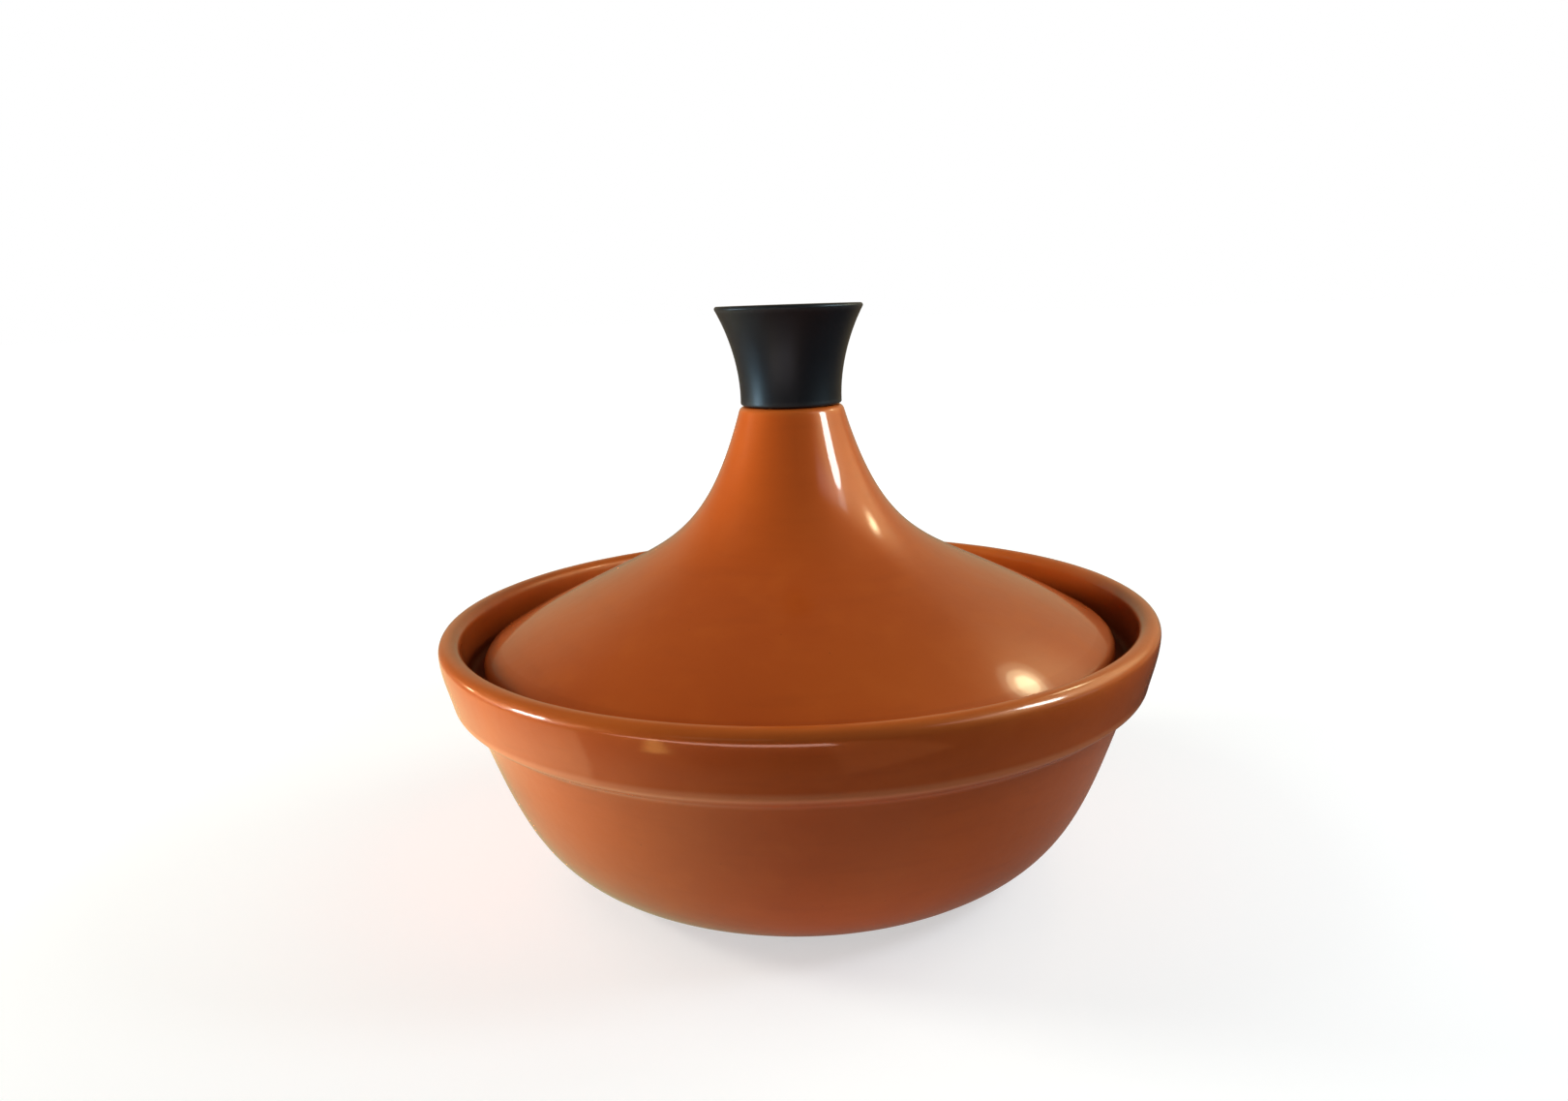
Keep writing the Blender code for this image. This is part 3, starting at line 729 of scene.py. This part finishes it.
class Wire:
    """Value that changes over a surface, carried by one socket, with plain arithmetic."""

    def __init__(self, finish, socket):
        self.finish = finish
        self.socket = socket

    def __add__(self, other):
        return self.finish.maths("ADD", self, other)

    def __radd__(self, other):
        return self.finish.maths("ADD", other, self)

    def __sub__(self, other):
        return self.finish.maths("SUBTRACT", self, other)

    def __rsub__(self, other):
        return self.finish.maths("SUBTRACT", other, self)

    def __mul__(self, other):
        return self.finish.maths("MULTIPLY", self, other)

    def __rmul__(self, other):
        return self.finish.maths("MULTIPLY", other, self)

    def __gt__(self, other):
        return self.finish.maths("GREATER_THAN", self, other)

    def __lt__(self, other):
        return self.finish.maths("LESS_THAN", self, other)


class Finish:
    """Material of one kind of surface, and the nodes that make it."""

    def __init__(self, name, tree=None):
        if tree is None:
            self.material = bpy.data.materials.new(name)
            self.material.use_nodes = True
            tree = self.material.node_tree
        self.tree = tree
        self.tree.nodes.clear()

    def node(self, kind, settings, sockets, output=0):
        """One node: its settings first, then the values or links of its sockets."""
        made = self.tree.nodes.new("ShaderNode" + kind)
        for setting, value in settings.items():
            setattr(made, setting, value)
        for socket in made.inputs:
            if socket.identifier not in sockets:
                continue
            value = sockets[socket.identifier]
            if isinstance(value, Wire):
                self.tree.links.new(value.socket, socket)
            else:
                socket.default_value = value
        for number, socket in enumerate(made.outputs):
            if output in (number, socket.identifier, socket.name):
                return Wire(self, socket)
        return None

    def maths(self, operation, first, second=0.0):
        """Math on one or two values."""
        return self.node("Math", {"operation": operation}, {"Value": first, "Value_001": second})

    def vector(self, operation, first, second=(0.0, 0.0, 0.0)):
        """Vector Math on one or two vectors; a length or a dot product comes as a value."""
        output = "Value" if operation in ("LENGTH", "DOT_PRODUCT") else "Vector"
        sockets = {"Vector": first, "Vector_001": second}
        return self.node("VectorMath", {"operation": operation}, sockets, output)

    def place(self):
        """Where on the object a point lies, in metres."""
        return self.node("TexCoord", {}, {}, "Object")

    def along(self, axis):
        """How far a point lies along X, Y or Z."""
        return self.node("SeparateXYZ", {}, {"Vector": self.place()}, axis)

    def grain(self, size, detail, roughness=0.5):
        """Cloudy variation from 0 to 1, with patches of about a size."""
        return self.node("TexNoise", {}, {
            "Vector": self.place(), "Scale": 1.0 / size, "Detail": detail,
            "Roughness": roughness}, "Fac")

    def streaks(self, height, length):
        """Variation from 0 to 1 in thin level streaks."""
        flat = self.vector("MULTIPLY", self.place(), (1.0 / length, 1.0 / length, 1.0 / height))
        return self.node("TexNoise", {}, {"Vector": flat, "Scale": 1.0, "Detail": 2.0}, "Fac")

    def attribute(self, name):
        """Value that the mesh carries."""
        return self.node("Attribute", {"attribute_name": name}, {}, "Fac")

    def rise(self, value, low, high):
        """0 where a value is below low, 1 above high and a soft rise between."""
        return self.node("MapRange", {"interpolation_type": "SMOOTHSTEP"}, {
            "Value": value, "From Min": low, "From Max": high})

    def past(self, value, limit, fade):
        """0 to 1 as a value passes a limit, over a fade given as distances from it."""
        return self.rise(value, limit + fade[0], limit + fade[1])

    def mix(self, share, first, second, blend="MIX"):
        """Colour between two, or one laid over the other."""
        return self.node("Mix", {"data_type": "RGBA", "blend_type": blend}, {
            "Factor_Float": share, "A_Color": first, "B_Color": second}, "Result_Color")

    def relief(self, height, strength, depth):
        """Shading normal of fine relief."""
        return self.node("Bump", {}, {
            "Strength": strength, "Distance": depth, "Height": height}, "Normal")

    def output(self, surface):
        """Closes the material."""
        self.node("OutputMaterial", {}, {"Surface": surface})
        return self.material


def flecks(finish, spacing, share, size, shift):
    """1 inside small round flecks, each in its own cell, in a share of the cells."""
    shifted = finish.vector("ADD", finish.place(), (shift, shift * 2.0, shift * 3.0))
    cells = {"Vector": shifted, "Scale": 1.0 / spacing, "Randomness": 1.0}
    distance = finish.node("TexVoronoi", {}, cells, "Distance")
    colour = finish.node("TexVoronoi", {}, cells, "Color")
    chance = finish.node("SeparateColor", {}, {"Color": colour}, "Red")
    return (chance > 1.0 - share) * (1.0 - finish.rise(distance, size * FLECK_CORE, size))


def glaze_finish():
    """Glossy terracotta-orange glaze, a little paler over edges and darker where it pools, with
    painted shade in the recess between the collar and the lid's edge and a painted highlight along
    the collar's lower edge.
    """
    glaze = Finish("terracotta_glaze")
    cloud = glaze.grain(GLAZE_CLOUD, 3.0)
    height = glaze.along("Z")
    radius = glaze.vector("LENGTH", glaze.vector("MULTIPLY", glaze.place(), (1.0, 1.0, 0.0)))
    # Painted shade: the recess between the collar and the lid's edge is darkened and loses its
    # gloss, with some pooled glaze there too
    recess_shade = glaze.past(height, LEDGE_HEIGHT, RECESS_FLOOR_FADE)
    recess_shade = recess_shade * (1.0 - glaze.past(height, LEDGE_HEIGHT, RECESS_TOP_FADE))
    recess_shade = recess_shade * (1.0 - glaze.past(radius, LIP_INSIDE, RECESS_LIP_FADE))
    recess_shade = recess_shade * glaze.past(radius, MOUTH_RADIUS, INNER_FADE)
    # Painted highlight along the collar's lower edge, where the glaze also runs thin
    step_highlight = glaze.past(height, STEP_HEIGHT, STEP_LOW_FADE)
    step_highlight = step_highlight * (1.0 - glaze.past(height, STEP_HEIGHT, STEP_HIGH_FADE))
    step_highlight = step_highlight * glaze.past(radius, LEDGE_RADIUS, INNER_FADE)
    pin = flecks(glaze, *PINHOLES)

    drift = glaze.rise(glaze.grain(GLAZE_DRIFT, 2.0), 0.30, 0.70)
    body = glaze.mix(drift, GLAZE_DEEP, GLAZE_BODY)
    for where, share, colour in (
            (glaze.rise(cloud, 0.45, 0.80), WARM_SHARE, GLAZE_WARM),
            (glaze.rise(glaze.streaks(*GLAZE_STREAK), 0.50, 0.80), STREAK_SHARE, GLAZE_POOLED_AND_SHADE),
            (glaze.rise(glaze.grain(GLAZE_SPECKLE, 2.0), 0.60, 0.80), SPECKLE_SHARE, GLAZE_POOLED_AND_SHADE),
            # brighter with height up the neck
            (glaze.rise(height, *NECK_HEIGHTS), BRIGHT_SHARE, GLAZE_BRIGHT),
            (glaze.rise(glaze.attribute("edge") + (cloud - 0.5) * 0.25, 0.10, 0.85),
             THIN_SHARE, GLAZE_THIN),
            # painted highlight on the collar's lower edge
            (step_highlight, PALE_SHARE, GLAZE_PALE_HIGHLIGHT),
            # painted shade in the recess
            (recess_shade, RECESS_SHARE, GLAZE_POOLED_AND_SHADE),
            (flecks(glaze, *IRON_FLECKS), IRON_SHARE, GLAZE_POOLED_AND_SHADE),
            (pin, PINHOLE_SHARE, PINHOLE_PALE)):
        body = glaze.mix(where * share, body, colour)

    clay_tone = glaze.grain(CLAY_CLOUD, 4.0)
    grog = flecks(glaze, *GROG_FLECKS)
    clay = glaze.mix(clay_tone, CLAY_LIGHT, CLAY_DARK)
    clay = glaze.mix(grog * GROG_SHARE, clay, CLAY_GROG)
    bare = glaze.rise(glaze.attribute("bare") + (cloud - 0.5) * 0.5, 0.42, 0.58)
    covered = 1.0 - bare

    glaze_height = glaze.grain(GLAZE_PEEL, 1.0) * 0.6 + cloud * 0.8 - pin * 0.35
    clay_height = clay_tone * 0.6 + grog * 0.25
    gloss = GLAZE_ROUGHNESS + cloud * GLAZE_CLOUD_ROUGHNESS
    return glaze.output(glaze.node("BsdfPrincipled", {}, {
        "Base Color": glaze.mix(bare, body, clay),
        "Roughness": gloss * covered + bare * CLAY_ROUGHNESS + recess_shade * RECESS_ROUGHNESS,
        "Specular IOR Level": GLAZE_SPECULAR,
        "Specular Tint": REFLECTED,
        "Coat Weight": covered * (1.0 - recess_shade * RECESS_COAT_LOSS),
        "Coat Roughness": COAT_ROUGHNESS,
        "Coat IOR": COAT_IOR,
        "Normal": glaze.relief(glaze_height * covered + clay_height * bare, *GLAZE_RELIEF)}))


def phenolic_finish():
    """Satin black moulding, a little rubbed along its edges."""
    moulding = Finish("black_phenolic_satin")
    cloud = moulding.grain(PHENOLIC_CLOUD, 3.0)
    scuff = moulding.grain(PHENOLIC_SCUFF, 3.0, 0.7)
    texture = moulding.grain(PHENOLIC_TEXTURE, 2.0)
    worn = moulding.rise(moulding.attribute("edge") + (scuff - 0.5) * 0.8, 0.45, 1.05)
    return moulding.output(moulding.node("BsdfPrincipled", {}, {
        "Base Color": moulding.mix(worn * 0.45, PHENOLIC_BLACK, PHENOLIC_WORN),
        "Roughness": PHENOLIC_ROUGHNESS + cloud * 0.08 + scuff * 0.05,
        "Specular IOR Level": PHENOLIC_SPECULAR,
        "Specular Tint": PHENOLIC_SHEEN,
        "Normal": moulding.relief(texture + cloud * 2.0, *PHENOLIC_RELIEF)}))


def silicone_finish():
    """Matt dark silicone with a faint bloom."""
    silicone = Finish("dark_silicone_matt")
    bloom = silicone.grain(SILICONE_BLOOM, 4.0)
    dusty = silicone.rise(bloom, 0.45, 0.75)
    return silicone.output(silicone.node("BsdfPrincipled", {}, {
        "Base Color": silicone.mix(dusty, SILICONE_DARK, SILICONE_DUSTY),
        "Roughness": SILICONE_ROUGHNESS + bloom * 0.18,
        "Normal": silicone.relief(silicone.grain(SILICONE_GRIT, 2.0), *SILICONE_RELIEF)}))


def metal_finish(name, bright, dull, gloss):
    """Turned or plated metal: fine rings left by the tool, and duller patches."""
    metal = Finish(name)
    patch = metal.rise(metal.grain(METAL_TARNISH, 4.0, 0.6), 0.45, 0.72)
    rings = metal.node("TexWave", {"wave_type": "RINGS", "rings_direction": "Z"}, {
        "Vector": metal.place(), "Scale": 1.0 / TOOL_LINES,
        "Distortion": 0.4, "Detail": 1.0}, "Fac")
    return metal.output(metal.node("BsdfPrincipled", {}, {
        "Base Color": metal.mix(patch, bright, dull),
        "Metallic": 1.0,
        "Roughness": gloss + patch * 0.16 + rings * 0.04,
        "Normal": metal.relief(rings + metal.grain(METAL_GRIT, 2.0), *METAL_RELIEF)}))


def bare_bowl(point):
    """Unglazed where the foot ring is wiped before firing."""
    foot_inside = FOOT_RADIUS - FOOT_WIDTH
    on_ring = smooth_step(foot_inside - FOOT_RECESS, foot_inside, point.x)
    return on_ring * (1.0 - smooth_step(*FOOT_WIPE, point.y))


def bare_lid(point):
    """Unglazed on the seat face and under the rib, which stand in the kiln."""
    if point.x > RIB_OUTER + REST_GAP:
        return 1.0 - smooth_step(*SEAT_WIPE, point.y)
    return 1.0 - smooth_step(*RIB_WIPE, point.y + RIB_DEPTH)


def dress(piece, material, body, node):
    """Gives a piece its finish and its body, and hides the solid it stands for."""
    piece.data.materials.clear()
    piece.data.materials.append(material)
    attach(piece, body)
    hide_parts(node)


def make_knob():
    """Knob with its cored underside, insert boss and ribs."""
    knob = turned("knob_moulding", knob_section(), KNOB_SEGMENTS, KNOB_BOTTOM.z, False)
    angles = [math.tau * (index + 0.5) / KNOB_RIB_COUNT for index in range(KNOB_RIB_COUNT)]
    cut(knob, [rib_block(angle) for angle in angles], "UNION")
    return knob


def ring_section(outer, inner, height, rounding):
    """Half section of a flat ring with eased edges."""
    return section([
        corner(outer, height, rounding), corner(outer, 0.0, rounding),
        corner(inner, 0.0, rounding), corner(inner, height, rounding)], SMALL_SPACING)


def make_screw():
    """Pan-head screw with its thread and the cross recess for the driver."""
    head_radius = SCREW_RADIUS + SCREW_HEAD_OVERHANG
    length = SCREW_TOP.z - SCREW_BOTTOM.z - SCREW_HEAD_HEIGHT
    core = SCREW_RADIUS - THREAD_DEPTH
    shank = section([
        corner(0.0, length),
        corner(SCREW_RADIUS - SCREW_TIP_CHAMFER, length),
        corner(SCREW_RADIUS, length - SCREW_TIP_CHAMFER),
        corner(SCREW_RADIUS, 0.0)], THREAD_SPACING)
    head = section([
        corner(head_radius, 0.0),
        corner(head_radius, -SCREW_HEAD_HEIGHT, SCREW_HEAD_ROUNDING),
        corner(0.0, -SCREW_HEAD_HEIGHT)], SMALL_SPACING)
    groove = thread_sink(1.0)

    def sink(point, angle):
        threaded = point.x > core and THREAD_PITCH < point.y < length - SCREW_TIP_CHAMFER
        return groove(point, angle) if threaded else 0.0

    seat = SCREW_BOTTOM.z + SCREW_HEAD_HEIGHT
    screw = turned("pan_head_screw", shank + head, SMALL_SEGMENTS, seat, False, sink)
    size = (2 * CROSS_REACH, CROSS_WIDTH, 2 * CROSS_DEPTH)
    middle = Vector((0.0, 0.0, SCREW_BOTTOM.z))
    arms = [block("cross_arm", size, middle, turn, CROSS_TAPER) for turn in (0.0, math.pi / 2)]
    cut(screw, arms, "DIFFERENCE")
    return screw


def make_insert():
    """Brass insert, knurled outside and threaded inside."""
    length = INSERT_TOP.z - INSERT_BOTTOM.z
    points = section([
        corner(INSERT_RADIUS - INSERT_CHAMFER, length),
        corner(INSERT_RADIUS, length - INSERT_CHAMFER),
        corner(INSERT_RADIUS, INSERT_CHAMFER),
        corner(INSERT_RADIUS - INSERT_CHAMFER, 0.0),
        corner(THREAD_BORE_RADIUS, 0.0),
        corner(THREAD_BORE_RADIUS, length)], THREAD_SPACING)
    groove = thread_sink(-1.0)

    def sink(point, angle):
        if not INSERT_PLAIN_END < point.y < length - INSERT_PLAIN_END:
            return 0.0
        if point.x > INSERT_RADIUS - MERGE_DISTANCE:
            turn = angle * KNURL_COUNT / math.tau
            rise = point.y / (math.tau * INSERT_RADIUS / KNURL_COUNT)
            rightward = abs((turn + rise) % 1.0 - 0.5)
            leftward = abs((turn - rise) % 1.0 - 0.5)
            return KNURL_DEPTH * min(rightward, leftward) * 2
        if point.x < THREAD_BORE_RADIUS + MERGE_DISTANCE:
            return groove(point, angle) * INSERT_THREAD_SHARE
        return 0.0

    return turned("brass_insert", points, SMALL_SEGMENTS * 2, INSERT_BOTTOM.z, True, sink)


def add_camera():
    """Camera that sees the tagine as the photograph does."""
    lens = bpy.data.cameras.new("photo_camera")
    lens.sensor_width = SENSOR_WIDTH
    lens.lens = SENSOR_WIDTH * FOCAL_PIXELS / PHOTO_WIDTH
    camera = bpy.data.objects.new("photo_camera", lens)
    turn = Matrix.Rotation(math.radians(CAMERA_YAW), 4, "Z")
    tilt = Matrix.Rotation(math.radians(90.0 - CAMERA_PITCH), 4, "X")
    roll = Matrix.Rotation(math.radians(CAMERA_ROLL), 4, "Z")
    place = Matrix.Translation((CAMERA_SIDE, -CAMERA_BACK, CAMERA_HEIGHT))
    camera.matrix_world = place @ turn @ tilt @ roll
    bpy.context.scene.collection.objects.link(camera)
    bpy.context.scene.camera = camera


def direction(azimuth, elevation):
    """Unit vector to a place of the studio: azimuth 0 is behind the tagine, 90 to its right."""
    turn, lift = math.radians(azimuth), math.radians(elevation)
    level = math.cos(lift)
    return Vector((math.sin(turn) * level, math.cos(turn) * level, math.sin(lift)))


def hang(lamp_data, place, towards, in_gloss):
    """Hangs a lamp that the camera never sees, shining back along a direction."""
    lamp = bpy.data.objects.new(lamp_data.name, lamp_data)
    turn = towards.to_track_quat("Z", "Y").to_matrix().to_4x4()
    lamp.matrix_world = Matrix.Translation(place) @ turn
    lamp.visible_camera = False
    lamp.visible_glossy = in_gloss
    bpy.context.scene.collection.objects.link(lamp)


def add_lamp(name, towards, place, size, power, colour, in_gloss):
    """Soft lamp of a width and a height, round where gloss shows it."""
    data = bpy.data.lights.new(name, "AREA")
    data.energy = power
    data.color = colour
    data.shape = "ELLIPSE" if in_gloss else "RECTANGLE"
    data.size, data.size_y = size
    hang(data, place, towards, in_gloss)


def add_side_lamp(name, azimuth, elevation, distance, size, power, colour, in_gloss=False):
    """Lamp that faces the middle of the tagine."""
    towards = direction(azimuth, elevation)
    place = TAGINE_MIDDLE + towards * distance
    add_lamp(name, towards, place, size, power, colour, in_gloss)


def add_table_lamp(name, x, y, size, power, colour):
    """Glow that comes up off the table, as from a pale cloth in bright light."""
    down = Vector((0.0, 0.0, -1.0))
    add_lamp(name, down, Vector((x, y, CARD_HEIGHT)), size, power, colour, False)


def add_neck_lamp(azimuth, elevation, distance, aim, cone, power):
    """Soft-edged spot that lifts the front of the neck and nothing below the lid."""
    data = bpy.data.lights.new("neck_lamp", "SPOT")
    data.energy = power
    data.color = NEUTRAL
    data.spot_size = math.radians(cone)
    data.spot_blend = 1.0
    data.shadow_soft_size = NECK_LAMP_RADIUS
    towards = direction(azimuth, elevation)
    hang(data, Vector((0.0, 0.0, aim)) + towards * distance, towards, False)


def add_warm_lamp():
    """Small warm bulb with its glow: wider and fainter discs, each just behind the last."""
    towards = (WARM_LAMP_PLACE - TAGINE_MIDDLE).normalized()
    for number, (width, power) in enumerate(WARM_LAMP_SHELLS):
        place = WARM_LAMP_PLACE + towards * SHELL_STEP * number
        add_lamp(f"warm_lamp_{number}", towards, place, (width, width), power, LAMPLIGHT, True)


def seen_ray(paint):
    """1 for rays that see the white background: from the camera, off gloss or through glass."""
    camera = paint.node("LightPath", {}, {}, "Is Camera Ray")
    glossy = paint.node("LightPath", {}, {}, "Is Glossy Ray")
    through = paint.node("LightPath", {}, {}, "Is Transmission Ray")
    return paint.maths("MAXIMUM", camera, paint.maths("MAXIMUM", glossy, through))


def add_floor():
    """Pale floor that keeps the tagine's shadow and runs out to white."""
    mesh = bpy.data.meshes.new("floor")
    corners = [(across * FLOOR_HALF, back * FLOOR_HALF, -FLOOR_DROP)
               for across, back in ((-1, -1), (1, -1), (1, 1), (-1, 1))]
    mesh.from_pydata(corners, [], [(0, 1, 2, 3)])
    floor = bpy.data.objects.new("floor", mesh)
    bpy.context.scene.collection.objects.link(floor)
    paint = Finish("pale_floor")
    far = paint.rise(paint.vector("LENGTH", paint.place()), *FLOOR_FADE)
    glow = paint.node("Emission", {}, {
        "Color": paint.mix(far, FLOOR_GLOW, WHITE), "Strength": 1.0})
    shade = paint.node("BsdfDiffuse", {}, {"Color": FLOOR_SHADE})
    bounce = paint.node("BsdfDiffuse", {}, {"Color": FLOOR_BOUNCE})
    both = paint.node("AddShader", {}, {"Shader": glow, "Shader_001": shade})
    floor.data.materials.append(paint.output(paint.node("MixShader", {}, {
        "Fac": seen_ray(paint), "Shader": bounce, "Shader_001": both})))


def window(paint, azimuth, elevation, half_width, half_height, softness):
    """1 inside a soft-edged card on the tent's wall, sizes in degrees."""
    facing = direction(azimuth, elevation)
    across = direction(azimuth + 90.0, 0.0)
    inside = paint.vector("DOT_PRODUCT", paint.place(), facing) > 0.0
    for axis, half in ((across, half_width), (facing.cross(across), half_height)):
        off = paint.vector("DOT_PRODUCT", paint.place(), axis / TENT_RADIUS)
        low = math.sin(math.radians(half - softness))
        high = math.sin(math.radians(half + softness))
        inside = inside * (1.0 - paint.rise(paint.maths("ABSOLUTE", off), low, high))
    return inside


def cloth(paint, x, y, half_length, half_width, turn, softness):
    """1 inside a soft-edged patch of the table."""
    inside = 1.0
    for angle, half in ((turn, half_length), (turn + 90.0, half_width)):
        axis = direction(90.0 - angle, 0.0)
        off = paint.vector("DOT_PRODUCT", paint.place(), axis) - (axis.x * x + axis.y * y)
        edge = paint.rise(paint.maths("ABSOLUTE", off), half - softness, half + softness)
        inside = inside * (1.0 - edge)
    return inside


def add_tent():
    """Studio tent that only reflections see, with soft-edged cards on its wall and table."""
    points = [Vector((0.0, TENT_RADIUS + CARD_HEIGHT))]
    for angle in range(90 - TENT_STEP, -1, -TENT_STEP):
        step = direction(0.0, angle) * TENT_RADIUS
        points.append(Vector((step.y, step.z + CARD_HEIGHT)))
    points.append(Vector((0.0, CARD_HEIGHT)))
    tent = turned("reflection_tent", points, TENT_SEGMENTS, 0.0, False)

    paint = Finish("tent_cloth")
    on_wall = paint.along("Z") > CARD_HEIGHT * 1.5
    away = paint.vector("LENGTH", paint.place())
    near = paint.mix(paint.rise(paint.along("X"), *LEFT_REACH), TABLE_NEAR_LEFT, TABLE_NEAR)
    table = paint.mix(paint.rise(away, *NEAR_REACH), near, TABLE)
    glow = paint.mix(on_wall, table, SKY)
    on_table = (1.0 - on_wall) * paint.rise(away, *CLOTH_REACH)
    for cards, card, ground in ((WINDOWS, window, on_wall), (CLOTHS, cloth, on_table)):
        for strength, colour, shape in cards:
            lit = tuple(channel * strength for channel in colour) + (1.0,)
            glow = paint.mix(card(paint, *shape) * ground, glow, lit, "ADD")
    tent.data.materials.append(paint.output(
        paint.node("Emission", {}, {"Color": glow, "Strength": 1.0})))
    paint.material.cycles.emission_sampling = "NONE"
    tent.visible_camera = False
    tent.visible_diffuse = False
    tent.visible_transmission = False
    tent.visible_shadow = False


def add_world():
    """White background, and a faint even fill for everything else."""
    world = bpy.data.worlds.new("studio_world")
    bpy.context.scene.world = world
    world.use_nodes = True
    paint = Finish("studio_world", world.node_tree)
    fill = paint.node("Background", {}, {"Color": WORLD_TONE, "Strength": WORLD_FILL})
    white = paint.node("Background", {}, {"Color": WHITE, "Strength": 1.0})
    mixed = paint.node("MixShader", {}, {
        "Fac": seen_ray(paint), "Shader": fill, "Shader_001": white})
    paint.node("OutputWorld", {}, {"Surface": mixed})


glaze = glaze_finish()
steel = metal_finish("zinc_plated_steel", ZINC_BRIGHT, ZINC_DULL, STEEL_ROUGHNESS)
brass = metal_finish("turned_brass", BRASS_BRIGHT, BRASS_DULL, BRASS_ROUGHNESS)
silicone = silicone_finish()

bowl = turned("glazed_bowl", bowl_section(), WARE_SEGMENTS, 0.0, False, ware_sway, bare_bowl)
dress(bowl, glaze, "base", "base_bowl")
lid = turned("glazed_lid", lid_section(), WARE_SEGMENTS, SEAT_HEIGHT, True, ware_sway, bare_lid)
dress(lid, glaze, "lid_assembly", "lid")
dress(make_knob(), phenolic_finish(), "lid_assembly", "knob")
dress(make_screw(), steel, "lid_assembly", "knob_screw")
dress(make_insert(), brass, "lid_assembly", "knob_insert")

# Flat rings: name, node, slot, lowest and highest corner, bore, easing of the edges, finish
FLAT_RINGS = (
    ("steel_washer", "screw_washer", "plated_steel",
     WASHER_BOTTOM, WASHER_TOP, WASHER_BORE, WASHER_EDGE, steel),
    ("steam_seal", "inner_seal", "dark_silicone",
     SEAL_BOTTOM, SEAL_TOP, WASHER_BORE, SEAL_EDGE, silicone),
    ("neck_gasket", "knob_gasket", "dark_silicone",
     GASKET_BOTTOM, GASKET_TOP, SCREW_HOLE_RADIUS, SEAL_EDGE, silicone),
)
for name, node, slot, low, high, bore, easing, finish in FLAT_RINGS:
    ring = turned(name, ring_section(high.x, bore, high.z - low.z, easing),
                  SMALL_SEGMENTS, low.z, True)
    dress(ring, finish, "lid_assembly", node)

add_camera()
add_floor()
add_world()
add_tent()
for lamp in SIDE_LAMPS:
    add_side_lamp(*lamp)
for lamp in TABLE_LAMPS:
    add_table_lamp(*lamp)
add_neck_lamp(*NECK_LAMP)
add_warm_lamp()

bpy.context.scene.view_settings.view_transform = "Standard"
